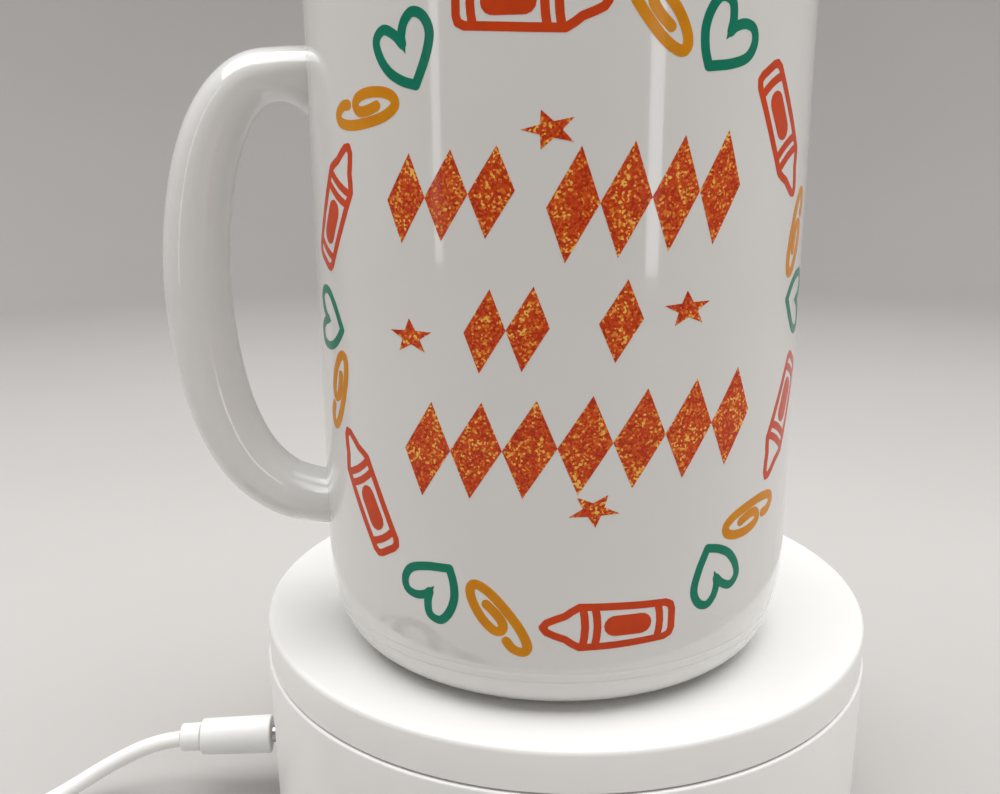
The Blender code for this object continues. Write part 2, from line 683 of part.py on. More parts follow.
def make_rotor(motor, low, high):
    """The three-pole armature, the shaft and its pinion, which turn together."""
    hub, neck = 3.0, 0.9
    outline = []
    for pole in range(3):
        centre = 2 * pi * pole / 3
        outline += [polar(hub, centre - neck / hub), (polar(ARMATURE_RADIUS - 1.6, centre - 0.24))]
        outline += [polar(ARMATURE_RADIUS, centre + step) for step in (-0.8, -0.4, 0.0, 0.4, 0.8)]
        outline += [polar(ARMATURE_RADIUS - 1.6, centre + 0.24), polar(hub, centre + neck / hub)]
    armature = prism("motor_armature", outline, low, high, "copper_winding")
    cut(armature, rod("bore", MOTOR_SHAFT_RADIUS + FIT, low - 1, high + 1))
    shaft_ends = (MOTOR_BOTTOM + 1.3, LAYER_A[1] + 0.5)
    shaft = rod("motor_shaft", MOTOR_SHAFT_RADIUS, *shaft_ends, 16, "steel")
    tooth = facing_gap(MOTOR_DIRECTION, PINION_TEETH)
    outline = gear_outline(PINION_TEETH, FINE_MODULE, tooth)
    pinion = prism("motor_pinion", outline, *LAYER_A, "brass")
    cut(pinion, rod("bore", MOTOR_SHAFT_RADIUS + FIT, LAYER_A[0] - 1, LAYER_A[1] + 1))
    for piece in (armature, shaft, pinion):
        place(piece, *motor)


# Power entry, board, switch and wiring


def make_jack():
    """The power jack: a block with a round nose that reaches through the wall."""
    across = (-JACK_HALF, JACK_HALF)
    levels = (ENTRY_Z - JACK_HALF + FIT, ENTRY_Z + JACK_HALF)
    jack = box("power_jack", (JACK_BACK, JACK_FRONT), across, levels, "black_plastic")
    place(jack, turn=ENTRY_ANGLE)
    nose = rod("nose", JACK_NOSE_RADIUS, JACK_FRONT - 1, HOUSING_RADIUS - 0.4, 20)
    bore = rod("bore", JACK_BORE, JACK_BACK + 1.6, HOUSING_RADIUS + 1, 16)
    join(jack, point_outwards(nose, ENTRY_ANGLE, ENTRY_Z))
    cut(jack, point_outwards(bore, ENTRY_ANGLE, ENTRY_Z))
    pin = rod("jack_pin", 0.5, JACK_BACK + 1.9, JACK_FRONT + 1.5, 10, "brass")
    point_outwards(pin, ENTRY_ANGLE, ENTRY_Z)


def make_board():
    """The circuit board with what is on it, and its two screws."""
    half = BOARD_WIDTH / 2
    levels = (BOARD_TOP - BOARD_THICKNESS, BOARD_TOP)
    board = box("circuit_board", (BOARD_INNER, BOARD_OUTER), (-half, half), levels, "green_board")
    place(board, turn=ENTRY_ANGLE)
    for number, (outwards, across) in enumerate(BOARD_SCREWS, 1):
        at = in_entry(outwards, across)
        cut(board, place(rod("hole", 1.2, levels[0] - 1, levels[1] + 1, 12), *at))
        place(screw(f"board_screw_{number}", BOARD_SCREW, BOARD_TOP + FIT, up=False), *at)
    on_board = BOARD_TOP + FIT
    levels = (on_board, on_board + CHIP_HEIGHT)
    chip = box("driver_chip", CHIP_OUTWARDS, CHIP_ACROSS, levels, "black_plastic", 0.2)
    levels = (on_board, on_board + HEADER_HEIGHT)
    header = box("motor_connector", HEADER_OUTWARDS, HEADER_ACROSS, levels, "natural_nylon", 0.3)
    for piece in (chip, header):
        place(piece, turn=ENTRY_ANGLE)
    top, radius = on_board + CAPACITOR_HEIGHT, CAPACITOR_RADIUS
    can = ((0, on_board), (radius, on_board), (radius, top - 0.4), (radius - 0.4, top), (0, top))
    place(turned("capacitor", can, 16, "black_plastic"), *in_entry(*CAPACITOR_PLACE))


def make_switch():
    """The slide switch's fixed body, and the knob that reaches out through the wall."""
    half_width, half_height = SWITCH_WIDTH / 2, SWITCH_BODY / 2
    face = WALL_INSIDE - 0.5
    levels = (SWITCH_Z - half_height, SWITCH_Z + half_height)
    box("switch_body", (-half_width, half_width), (face - SWITCH_BODY, face), levels, "steel", 0.25)
    half_knob, half_rise = KNOB_WIDTH / 2, KNOB_HEIGHT / 2
    reach = (face + FIT, HOUSING_RADIUS + 1.0)
    levels = (SWITCH_Z - half_rise, SWITCH_Z + half_rise)
    box("switch_slider", (-half_knob, half_knob), reach, levels, "black_plastic", 0.2)


def make_wires(motor):
    """Two wires from the board to the motor, and two to the switch."""
    for name, across, side in (("red", 6.4, -1.0), ("black", 8.8, 1.0)):
        x, y = in_entry(33.0, across)
        entry = motor[0] - MOTOR_RADIUS - 1.0
        route = (
            (x, y, BOARD_TOP + 3.0),
            (x + 3.5, y, BOARD_TOP + 1.6),
            (x + 7.0, y - 0.3, 6.2),
            (x + 12.0, y - 0.4 + 0.4 * side, 4.4),
            (-12.0, -8.0 - 0.9 * side, 4.3),
            (-2.0, -4.0 - 1.0 * side, 4.3),
            (entry - 6.0, motor[1] - 1.4 - 1.1 * side, 4.4),
            (entry, motor[1] - 1.2 * side, 4.9),
        )
        cable(f"motor_wire_{name}", route, WIRE_DIAMETER, f"{name}_wire")
    for name, across, side in (("red", -6.0, -1.0), ("black", -8.4, 1.0)):
        x, y = in_entry(BOARD_INNER - 0.9, across)
        back = WALL_INSIDE - 0.5 - SWITCH_BODY - 1.0
        route = (
            (x, y, BOARD_TOP - 0.8),
            (x + 3.0, y + 2.0 + side, 7.4),
            (x + 5.0, y + 8.0 + side, 6.0),
            (-20.0 - 1.2 * side, 28.0 + side, 5.6),
            (-10.0 - 1.2 * side, 39.0 + side, 7.6),
            (-3.6 - 1.4 * side, 46.0 + 0.6 * side, 11.4),
            (-1.6 * side, back - 1.8, 13.6),
            (-1.6 * side, back, SWITCH_Z),
        )
        cable(f"switch_wire_{name}", route, WIRE_DIAMETER, f"{name}_wire")


# Power lead


def make_jack_plug():
    """The plug in the jack: metal sleeve, moulded body and the softer collar round the cable."""
    sleeve = ((0.85, 50.0), (1.75, 50.0), (1.75, PLUG_FACE - FIT), (0.85, PLUG_FACE - FIT))
    end = PLUG_FACE + PLUG_LENGTH
    body = (
        (0, PLUG_FACE),
        (PLUG_RADIUS - 0.4, PLUG_FACE),
        (PLUG_RADIUS, PLUG_FACE + 0.4),
        (PLUG_RADIUS, end - 0.7),
        (PLUG_RADIUS - 0.7, end),
        (0, end),
    )
    low, high = end + FIT, end + FIT + COLLAR_LENGTH
    collar = (
        (0, low),
        (COLLAR_RADIUS, low),
        (COLLAR_RADIUS - 0.2, high - 0.3),
        (COLLAR_RADIUS - 0.5, high),
        (0, high),
    )
    pieces = (
        turned("jack_plug_tip", sleeve, 16, "steel"),
        turned("jack_plug_body", body, 24, "white_cable"),
        turned("jack_plug_collar", collar, 20, "white_cable"),
    )
    for piece in pieces:
        point_outwards(piece, ENTRY_ANGLE, ENTRY_Z)


def make_coil():
    """The outer shape of the coiled part of the lead."""
    radius = CABLE_DIAMETER / 2 + 0.15
    inner = COIL_INNER_TURN - radius
    outer = COIL_INNER_TURN + (COIL_TURNS_ACROSS - 1) * TURN_PITCH + radius
    top = (COIL_LAYERS - 1) * TURN_PITCH + 2 * radius
    middle = (0.1 + top) / 2
    profile = (
        (inner, middle),
        (inner + 1.0, 0.1),
        (outer - 1.0, 0.1),
        (outer, middle),
        (outer - 1.0, top),
        (inner + 1.0, top),
    )
    place(turned("cable_coil", profile, 36, "white_cable"), *COIL_CENTRE)


def make_usb_plug():
    """The plug at the lead's far end, lying flat beside the coil."""
    end = USB_BODY_START + USB_BODY_LENGTH
    y = TAIL_ROUTE[-1][1]
    half_width, half_height = USB_BODY_WIDTH / 2, USB_BODY_HEIGHT / 2
    sides = (y - half_width, y + half_width)
    levels = (USB_Z - half_height, USB_Z + half_height)
    box("usb_plug_body", (USB_BODY_START, end), sides, levels, "white_cable", 1.0)
    half_width, half_height = USB_SHELL_WIDTH / 2, USB_SHELL_HEIGHT / 2
    reach = (end + FIT, end + FIT + USB_SHELL_LENGTH)
    levels = (USB_Z - half_height, USB_Z + half_height)
    shell = box("usb_plug_shell", reach, (y - half_width, y + half_width), levels, "steel")
    across = (y - half_width + USB_SKIN, y + half_width - USB_SKIN)
    levels = (USB_Z - 0.1, USB_Z + half_height - USB_SKIN)
    cut(shell, box("mouth", (reach[0] + 3.0, reach[1] + 1), across, levels))


def make_power_lead():
    cable("cable_lead", LEAD_ROUTE, CABLE_DIAMETER, "white_cable")
    cable("cable_tail", TAIL_ROUTE, CABLE_DIAMETER, "white_cable")
    make_jack_plug()
    make_coil()
    make_usb_plug()


# Mug


def make_handle():
    """The handle: an oval section swept along its route, its ends inside the mug's wall."""
    line = smooth_route(HANDLE_ROUTE, 2)
    sides = 14
    bm = bmesh.new()
    rings = []
    for before, here, after in zip([line[0]] + line, line, line[1:] + [line[-1]]):
        along = after - before
        outwards = Vector((-along.z, 0.0, along.x)).normalized() * here.y
        middle = Vector((here.x, 0.0, here.z))
        ring = []
        for i in range(sides):
            angle = 2 * pi * i / sides
            across = Vector((0.0, HANDLE_HALF_WIDTH * sin(angle), 0.0))
            ring.append(bm.verts.new((middle + outwards * cos(angle) + across) * MM))
        rings.append(ring)
    for first, second in zip(rings, rings[1:]):
        for i in range(sides):
            j = (i + 1) % sides
            bm.faces.new((first[i], first[j], second[j], second[i]))
    bm.faces.new(rings[0])
    bm.faces.new(rings[-1])
    return place(add("handle", bm), MUG_X, MUG_Y, 0, HANDLE_ANGLE)


def make_mug():
    """The cup with its foot ring, rounded lower corner and lip, and the handle joined to it."""
    inside = MUG_RADIUS - MUG_WALL
    profile = (
        (0.0, 2.2),
        (29.5, 2.2),
        (31.5, 0.0),
        (35.6, 0.0),
        (37.6, 0.8),
        (39.5, 2.0),
        (40.9, 4.0),
        (41.8, 6.4),
        (42.8, 11.4),
        (43.2, 18.0),
        (MUG_RADIUS, MUG_TOP - MUG_BOTTOM - 2.0),
        (MUG_RADIUS - 0.9, MUG_TOP - MUG_BOTTOM - 0.4),
        (MUG_RADIUS - 2.2, MUG_TOP - MUG_BOTTOM),
        (inside + 0.7, MUG_TOP - MUG_BOTTOM - 0.7),
        (inside, MUG_TOP - MUG_BOTTOM - 2.6),
        (inside, 15.0),
        (inside - 1.6, 10.2),
        (inside - 5.8, 7.4),
        (0.0, 6.8),
    )
    mug = turned("mug", [(r, MUG_BOTTOM + z) for r, z in profile], 48, "white_glaze")
    return join(place(mug, MUG_X, MUG_Y), make_handle())


def main():
    clear_scene()
    first, second, motor = train_places()
    make_base_housing((first, second))
    make_bottom_cover()
    make_feet_and_cover_screws()
    make_bush("deck_bush", DECK_BUSH_RADIUS, DECK_BUSH_FLANGE, DECK_BOTTOM - 1.2, DECK_TOP)
    make_bush("lower_bush", LOWER_BUSH_RADIUS, LOWER_BUSH_FLANGE, PLATE_BOTTOM - 0.6, PLATE_TOP)
    make_platter()
    make_spindle()
    make_rollers()
    make_gear_plate(first, second, motor)
    make_gears(first, second)
    make_motor(motor)
    make_jack()
    make_board()
    make_switch()
    make_wires(motor)
    make_power_lead()
    make_mug()


main()
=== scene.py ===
"""The looks of a glazed mug on a motorised display turntable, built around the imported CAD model.

Sizes are in millimetres unless a name says otherwise, and become metres where a mesh is made. The
frame has +Z up and its origin on the turntable's axis, at the surface that its feet stand on. -Y is
the front, and the mug's handle and the power plug are on the -X side.
"""

import json
from math import cos, pi, radians, sin

import bmesh
import bpy
from mathutils import Matrix, Vector, geometry


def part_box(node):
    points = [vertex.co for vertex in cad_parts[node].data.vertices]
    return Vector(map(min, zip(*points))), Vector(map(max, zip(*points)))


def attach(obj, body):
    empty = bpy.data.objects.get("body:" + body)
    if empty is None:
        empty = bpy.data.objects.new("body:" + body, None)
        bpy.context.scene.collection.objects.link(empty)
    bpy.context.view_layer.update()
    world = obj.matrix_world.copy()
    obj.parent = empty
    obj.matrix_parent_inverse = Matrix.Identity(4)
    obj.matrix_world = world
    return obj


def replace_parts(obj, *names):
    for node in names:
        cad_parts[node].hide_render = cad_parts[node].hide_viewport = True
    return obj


MM = 0.001
SHORTEST_EDGE = 0.002  # shorter ones, which cutting leaves behind, are taken out

# Camera, in metres and radians: a hand's breadth in front of the mug, looking down at it
CAMERA_PLACE = (0.0, -0.19974, 0.13783)
CAMERA_YAW, CAMERA_PITCH, CAMERA_ROLL = -0.0628, -0.2569, -0.0074
CAMERA_LENS, CAMERA_SENSOR = 37.36, 36.0

# Power lead: the same route as its CAD solids, from the plug's collar through the coil to the USB plug
CORD_DIAMETER = 3.3
LEAD_ROUTE = (
    (-80.1, -9.9, 12.4),
    (-84.0, -10.4, 11.8),
    (-88.0, -11.0, 10.6),
    (-92.2, -11.9, 8.8),
    (-96.4, -13.1, 6.7),
    (-100.5, -14.9, 4.6),
    (-104.5, -17.4, 2.9),
    (-108.3, -20.6, 2.0),
    (-111.6, -24.8, 1.75),
    (-114.4, -29.6, 1.75),
    (-116.4, -35.0, 1.75),
    (-117.4, -41.0, 1.75),
    (-117.6, -46.7, 1.8),
    (-117.6, -53.4, 1.9),
)
TAIL_ROUTE = (
    (-87.0, -83.8, 5.3),
    (-80.2, -83.8, 5.1),
    (-76.0, -83.8, 5.0),
    (-71.0, -83.8, 4.6),
    (-66.3, -83.8, 4.4),
)
COIL_CENTRE = (-93.8, -60.0)
COIL_OUTER_TURN, TURN_PITCH = 23.8, 3.4
COIL_TURNS, POINTS_PER_TURN = 7.25, 24
LOWER_LAYER, LAYER_RISE = 2.0, 3.35
TIE_ANGLE, TIE_HALF_WIDTH, TIE_SKIN, TIE_ROUNDING = radians(215), 3.6, 0.28, 2.0
TIE_NEAR, TIE_FAR = 11.0, 25.75  # from the coil's centre
USB_GRIP, USB_Z = (-66.0, -46.0), 4.4
USB_SHELL_LENGTH, USB_SHELL_HALF_WIDTH, USB_SHELL_HALF_HEIGHT, USB_SHELL_SKIN = 14.0, 6.0, 2.25, 0.4

# Plug in the turntable's jack: it points away from the turntable's axis, level, at this angle about
# +Z. Its faces and ends are distances from that axis.
ENTRY_ANGLE, ENTRY_Z = radians(187), 12.7
PLUG_FACE, PLUG_END, COLLAR_START, COLLAR_END = 61.7, 76.2, 76.5, 80.5
PLUG_RADII, COLLAR_RADII = (3.95, 3.65), (2.9, 2.8)
PLUG_NECK_RADIUS, PLUG_NECK_LENGTH = 2.2, 0.25
SLEEVE_RADIUS, SLEEVE_BORE, SLEEVE_ENDS = 1.75, 0.85, (50.0, 61.4)

# Turntable: radii and heights
DISC_SEGMENTS = 256
PLATTER_RADIUS, PLATTER_TOP, PLATTER_UNDERSIDE = 59.75, 45.0, 42.0
SKIRT_BOTTOM, SKIRT_INSIDE = 37.45, 57.6
HUB_RADIUS, HUB_END, SPINDLE_SOCKET, SOCKET_END = 7.5, 38.9, 2.3, 43.0
HOUSING_RADIUS, HOUSING_INSIDE, HOUSING_FOOT = 60.0, 57.8, 0.8
DRAFT = 0.15  # taper of the housing's wall, each way from its middle
DECK_TOP, DECK_BOTTOM = 37.1, 34.9
BUSH_HOLE, BUSH_BOSS, BUSH_BOSS_END = 4.3, 7.3, 33.6
# Posts under the deck: place, radius and lower end
POSTS = (
    (-21.0, 14.0, 3.2, 18.5),
    (16.0, -20.0, 3.2, 18.5),
    (22.0, 38.0, 3.2, 18.5),
    (8.55, 23.49, 3.0, 33.4),
    (25.1, 20.58, 3.0, 33.4),
)
COVER_SCREW_CIRCLE, COVER_SCREW_ANGLES = 51.0, (30, 150, 270)
SCREW_POST, SCREW_POST_END, SCREW_HOLE, SCREW_HOLE_ENDS = 3.4, 3.5, 1.35, (3.0, 16.0)
ROLLER_CIRCLE, ROLLER_ANGLES = 45.0, (90, 210, 330)
ROLLER_SLOT = ((-2.9, 2.9), (-4.9, 4.9), (34.0, 41.0))
ROLLER_EARS = (-3.9, 3.9)
EAR_HALF_THICKNESS, EAR_HALF_WIDTH, EAR_HEIGHTS = 0.95, 2.2, (36.0, 39.6)
JACK_HOLE, JACK_CHAMFER, JACK_HOLE_ENDS = 3.2, 0.8, (54.0, 59.4, 60.4)
SWITCH_Z, SWITCH_SLOT, SWITCH_SLOT_ENDS = 14.0, (3.6, 1.3), (55.0, 62.0)
KNOB_ROUNDING, KNOB_RIBS, KNOB_RIB_WIDTH, KNOB_RIB_PITCH, KNOB_RIB_HEIGHT = 0.12, 4, 0.24, 0.53, 0.25

# Mug: its axis, the height of its foot, and its outer radius at heights above the foot
MUG_X, MUG_Y = -1.6, -9.4
MUG_FOOT = 45.02
MUG_HEIGHT, MUG_RADIUS, MUG_WALL = 119.9, 43.2, 4.4
FOOT_RING, FOOT_RECESS, CUP_FLOOR = 35.4, 2.6, 7.0
BARE_UP_TO = 0.03  # the foot ring stands unglazed
CUP_SEGMENTS = 160
LOWER_WALL = (
    (0.1, 35.8),
    (0.9, 37.6),
    (1.9, 39.2),
    (3.2, 40.4),
    (4.8, 41.2),
    (6.5, 41.75),
    (8.8, 42.3),
    (11.5, 42.75),
    (14.8, 43.1),
    (18.3, 43.2),
)
RIDGES = (6.4, 8.3)
RIDGE_WIDTH, RIDGE_RISE = 0.4, 0.09

# Handle: the angle that it points in, and its route as distance from the mug's axis, half thickness
# and height. Its underside flares where it meets the wall at the top.
HANDLE_ANGLE = radians(188)
HANDLE_ROUTE = (
    (41.0, 4.2, 146.9),
    (47.5, 4.4, 146.6),
    (53.2, 4.8, 145.2),
    (58.0, 5.2, 140.0),
    (61.5, 5.5, 131.8),
    (63.7, 5.7, 121.1),
    (64.5, 5.8, 109.8),
    (63.7, 5.8, 97.8),
    (61.4, 5.7, 86.7),
    (57.4, 5.5, 78.0),
    (51.9, 5.2, 72.5),
    (46.1, 5.0, 70.2),
    (40.9, 4.9, 69.5),
)
HANDLE_HALF_WIDTH = 7.3
FLARE_REACH, FLARE_DEPTH = 7.0, 3.4

# Printed ring of icons on the wall unrolled, across from the front and up from the platter: how far
# out each sort stands, the direction of its first one, clockwise from the top, and how it is turned
RING_CENTRE = (3.0, 62.9)
RING_STRETCH = 1.012
RING_COUNT = 6
PENCIL_OUT, PENCIL_AT, PENCIL_TURN = 46.3, -7.6, 0.0
CLIP_OUT, CLIP_AT, CLIP_TURN = 46.4, 14.1, -60.5
HEART_OUT, HEART_AT, HEART_TURN = 47.25, 27.8, -37.8
PEN, THIN_PEN, BROAD_PEN = 1.45, 1.25, 1.6
PRINT_SUNK, PRINT_PROUD = 0.05, 0.03
PRINT_ACROSS, UPRIGHT_STRIP = (-52.0, 56.0), 1.4
PRINT_ON_CORNER, LEVEL_STRIP = (9.5, 19.5), 2.0
# Stars: across, up and turned by how many degrees
STARS = ((-0.5, 92.1, 18), (-22.5, 61.9, 3), (20.6, 66.4, 3), (6.4, 36.4, -32))
STAR_HALF_WIDTH, STAR_HALF_HEIGHT = 4.1, 2.8
# Rows of lozenges: left end, right end, foot at the left end, height and count
LOZENGE_ROWS = (
    (-26.2, -5.4, 75.6, 13.0, 3),
    (-1.0, 29.4, 73.4, 16.2, 4),
    (-13.3, -0.4, 57.0, 12.6, 2),
    (6.7, 13.4, 58.8, 12.2, 1),
    (-24.2, 34.2, 36.4, 15.4, 7),
)
ROW_SLOPE, LOZENGE_LEAN = 0.085, 0.14


# Materials


class Finish:
    """A node material being put together. Its patterns are laid out in the object's own space."""

    def __init__(self, name, colour, roughness, metallic=0.0, **sockets):
        self.material = bpy.data.materials.new(name)
        self.material.use_nodes = True
        self.tree = self.material.node_tree
        self.shader = self.tree.nodes["Principled BSDF"]
        self.shader.inputs["Base Color"].default_value = (*colour, 1.0)
        self.shader.inputs["Roughness"].default_value = roughness
        self.shader.inputs["Metallic"].default_value = metallic
        for socket, value in sockets.items():
            self.shader.inputs[socket.replace("_", " ")].default_value = value
        self.colour = colour
        self.place = self.tree.nodes.new("ShaderNodeTexCoord").outputs["Object"]

    def node(self, kind, links=None, values=None, **settings):
        made = self.tree.nodes.new("ShaderNode" + kind)
        for key, value in settings.items():
            setattr(made, key, value)
        for socket, value in (values or {}).items():
            made.inputs[socket].default_value = value
        for socket, source in (links or {}).items():
            self.tree.links.new(source, made.inputs[socket])
        return made

    def along_x(self, share):
        """Places that draw a pattern out along X, to that share of its closeness."""
        made = self.node("Mapping", {"Vector": self.place}, {"Scale": (share, 1.0, 1.0)})
        return made.outputs["Vector"]

    def noise(self, size, detail=2.0, place=None):
        """Soft noise whose blotches are about that many millimetres across."""
        links = {"Vector": place or self.place}
        return self.node("TexNoise", links, {"Scale": 1000 / size, "Detail": detail}).outputs["Fac"]

    def cells(self, size):
        """Small cells of about that many millimetres, each with its own colour."""
        made = self.node("TexVoronoi", {"Vector": self.place}, {"Scale": 1000 / size})
        return made.outputs["Color"]

    def spread(self, source, low, high, from_low=0.3, from_high=0.7):
        values = {"From Min": from_low, "From Max": from_high, "To Min": low, "To Max": high}
        return self.node("MapRange", {"Value": source}, values).outputs["Result"]

    def ramp(self, source, *stops):
        """Colours at places from 0 to 1 along a source."""
        made = self.node("ValToRGB", {"Fac": source})
        line = made.color_ramp
        while len(line.elements) < len(stops):
            line.elements.new(1.0)
        for element, (at, colour) in zip(line.elements, stops):
            element.position = at
            element.color = (*colour, 1.0)
        return made.outputs["Color"]

    def mottled(self, size, amount, detail=3.0):
        """Lets the colour drift a little, lighter and darker."""
        dark = [c * (1 - amount) for c in self.colour]
        light = [min(1.0, c * (1 + amount)) for c in self.colour]
        return self.coloured(self.ramp(self.noise(size, detail), (0.35, dark), (0.65, light)))

    def coloured(self, source):
        self.tree.links.new(source, self.shader.inputs["Base Color"])
        return self

    def roughened(self, source, low, high):
        self.tree.links.new(self.spread(source, low, high), self.shader.inputs["Roughness"])
        return self

    def bumped(self, source, depth):
        """Raises the surface by up to that many millimetres, on top of any bump before."""
        before = self.shader.inputs["Normal"].links
        links = {"Height": source}
        if before:
            links["Normal"] = before[0].from_socket
        made = self.node("Bump", links, {"Strength": 1.0, "Distance": depth * MM})
        self.tree.links.new(made.outputs["Normal"], self.shader.inputs["Normal"])
        return self


def glaze():
    made = Finish("white_glaze", (0.70, 0.69, 0.67), 0.09, Coat_Weight=0.6, Coat_Roughness=0.03)
    made.mottled(26, 0.012).roughened(made.noise(9, 3), 0.07, 0.12)
    return made.bumped(made.noise(14, 1), 0.03).bumped(made.noise(2.2, 1), 0.0012)


def bare_ceramic():
    made = Finish("bare_ceramic", (0.72, 0.70, 0.66), 0.75)
    return made.mottled(1.2, 0.06).bumped(made.noise(0.4, 4), 0.04)


def shell_plastic():
    made = Finish("white_shell", (0.86, 0.85, 0.83), 0.3, Coat_Weight=0.15, Coat_Roughness=0.2)
    made.mottled(30, 0.010).roughened(made.noise(4, 2), 0.29, 0.33)
    return made.bumped(made.noise(0.35, 2), 0.0022)


def cable_plastic():
    made = Finish("white_cable", (0.90, 0.90, 0.885), 0.36, Subsurface_Weight=0.08)
    made.shader.inputs["Subsurface Scale"].default_value = 0.002
    made.mottled(12, 0.015).roughened(made.noise(1.5, 3), 0.32, 0.44)
    return made.bumped(made.noise(0.25, 2), 0.004)


def rubber():
    made = Finish("black_rubber", (0.028, 0.028, 0.03), 0.8, Sheen_Weight=0.1)
    made.mottled(2, 0.25).roughened(made.noise(1, 3), 0.7, 0.9)
    return made.bumped(made.noise(0.3, 3), 0.03)


def nylon():
    made = Finish("natural_nylon", (0.78, 0.74, 0.63), 0.42, Subsurface_Weight=0.15)
    made.shader.inputs["Subsurface Scale"].default_value = 0.002
    made.mottled(5, 0.05).roughened(made.noise(0.8, 3), 0.36, 0.5)
    return made.bumped(made.noise(0.5, 2), 0.006)


def black_plastic():
    made = Finish("black_plastic", (0.025, 0.025, 0.028), 0.42)
    made.mottled(3, 0.2).roughened(made.noise(0.7, 3), 0.36, 0.52)
    return made.bumped(made.noise(0.2, 2), 0.012)


def brushed(name, colour, roughness):
    """Metal with fine lines along X and a few worn patches."""
    made = Finish(name, colour, roughness, 1.0)
    lines = made.noise(0.12, 3, made.along_x(0.03))
    made.coloured(made.ramp(made.noise(3, 4), (0.3, [c * 0.88 for c in colour]), (0.7, colour)))
    return made.roughened(lines, roughness - 0.08, roughness + 0.1).bumped(lines, 0.003)


def winding():
    """Enamelled wire, wound in close turns, with painted shade in the grooves between them."""
    made = Finish("copper_winding", (0.5, 0.2, 0.08), 0.3, 1.0, Coat_Weight=0.5)
    turns = made.node(
        "TexWave",
        {"Vector": made.place},
        {"Scale": 1000 / 0.28 / 20, "Distortion": 0.6, "Detail": 1.0, "Detail Scale": 2.0},
        bands_direction="Z",
    ).outputs["Fac"]
    # Painted shade: the copper colour darkens in the grooves between the turns, where the bump is
    # lowest.
    made.coloured(made.ramp(turns, (0.0, (0.16, 0.05, 0.02)), (0.6, (0.56, 0.22, 0.09))))
    return made.bumped(turns, 0.08)


def ferrite():
    made = Finish("ferrite", (0.09, 0.09, 0.1), 0.6)
    made.mottled(0.6, 0.3).roughened(made.noise(1, 3), 0.5, 0.7)
    return made.bumped(made.noise(0.4, 4), 0.03)


def board():
    """Solder mask over copper tracks, which show as a raised, lighter net."""
    made = Finish("green_board", (0.02, 0.14, 0.06), 0.3, Coat_Weight=0.3)
    tracks = made.node(
        "TexVoronoi",
        {"Vector": made.place},
        {"Scale": 1000 / 3.2, "Randomness": 0.55},
        feature="DISTANCE_TO_EDGE",
        distance="CHEBYCHEV",
    ).outputs["Distance"]
    line = made.spread(tracks, 1.0, 0.0, 0.06, 0.1)
    made.coloured(made.ramp(line, (0.0, (0.012, 0.10, 0.045)), (1.0, (0.04, 0.24, 0.10))))
    return made.bumped(line, 0.035).bumped(made.noise(0.3, 2), 0.004)


def insulation(name, colour):
    made = Finish(name, colour, 0.4)
    made.mottled(3, 0.08).roughened(made.noise(1, 3), 0.34, 0.5)
    return made.bumped(made.noise(0.25, 2), 0.006)


def ink(name, colour):
    """Colour taken up by the glaze, with the faint unevenness of a heat transfer."""
    made = Finish(name, colour, 0.2, Specular_IOR_Level=0.16, Coat_Weight=0.1, Coat_Roughness=0.05)
    made.mottled(4, 0.06).roughened(made.noise(2, 3), 0.16, 0.26)
    return made.bumped(made.noise(14, 1), 0.05)


def glitter_ink():
    """Orange glitter: flakes of three depths of orange, and some of gold."""
    made = Finish("glitter_ink", (0.6, 0.06, 0.006), 0.2, Specular_IOR_Level=0.2, Coat_Weight=0.12)
    flakes = made.node("SeparateColor", {"Color": made.cells(0.34)}).outputs["Red"]
    patches = made.noise(3.2, 2)
    mixed = made.node("Math", {0: flakes, 1: made.spread(patches, -0.16, 0.16)}, operation="ADD")
    made.coloured(
        made.ramp(
            mixed.outputs["Value"],
            (0.0, (0.40, 0.022, 0.002)),
            (0.35, (0.56, 0.042, 0.003)),
            (0.72, (0.62, 0.075, 0.005)),
            (0.88, (0.74, 0.24, 0.020)),
            (0.98, (0.88, 0.50, 0.09)),
        )
    )
    return made.roughened(flakes, 0.14, 0.3).bumped(flakes, 0.004)


def studio_paper():
    made = Finish("floor_paper", (0.46, 0.445, 0.43), 0.75)
    return made.mottled(160, 0.012).bumped(made.noise(1.2, 3), 0.02)


# Meshes


def smooth_line(points, steps):
    """Points on a smooth curve through these, with that many steps from each to the next."""
    points = [Vector(p) for p in points]
    ends = [2 * points[0] - points[1]] + points + [2 * points[-1] - points[-2]]
    line = []
    for a, b, c, d in zip(ends, ends[1:], ends[2:], ends[3:]):
        for i in range(steps):
            t = i / steps
            bend = 2 * a - 5 * b + 4 * c - d
            twist = 3 * b - a - 3 * c + d
            line.append((2 * b + (c - a) * t + bend * t**2 + twist * t**3) / 2)
    return line + [points[-1]]


def ease(x):
    """0 up to x = 0 and 1 from x = 1 on, with a smooth rise between."""
    x = min(1.0, max(0.0, x))
    return x * x * (3 - 2 * x)


def polar(radius, angle):
    return radius * cos(angle), radius * sin(angle)


def rounded(corners, steps=5):
    """An outline whose corners, given as (radius, height, rounding), become arcs."""
    outline = []
    count = len(corners)
    for i, (x, y, rounding) in enumerate(corners):
        here = Vector((x, y))
        if not rounding:
            outline.append((x, y))
            continue
        before = Vector(corners[i - 1][:2]) - here
        after = Vector(corners[(i + 1) % count][:2]) - here
        start = here + before.normalized() * rounding
        end = here + after.normalized() * rounding
        for step in range(steps + 1):
            t = step / steps
            at = start * (1 - t) ** 2 + here * 2 * t * (1 - t) + end * t**2
            outline.append((at.x, at.y))
    return outline


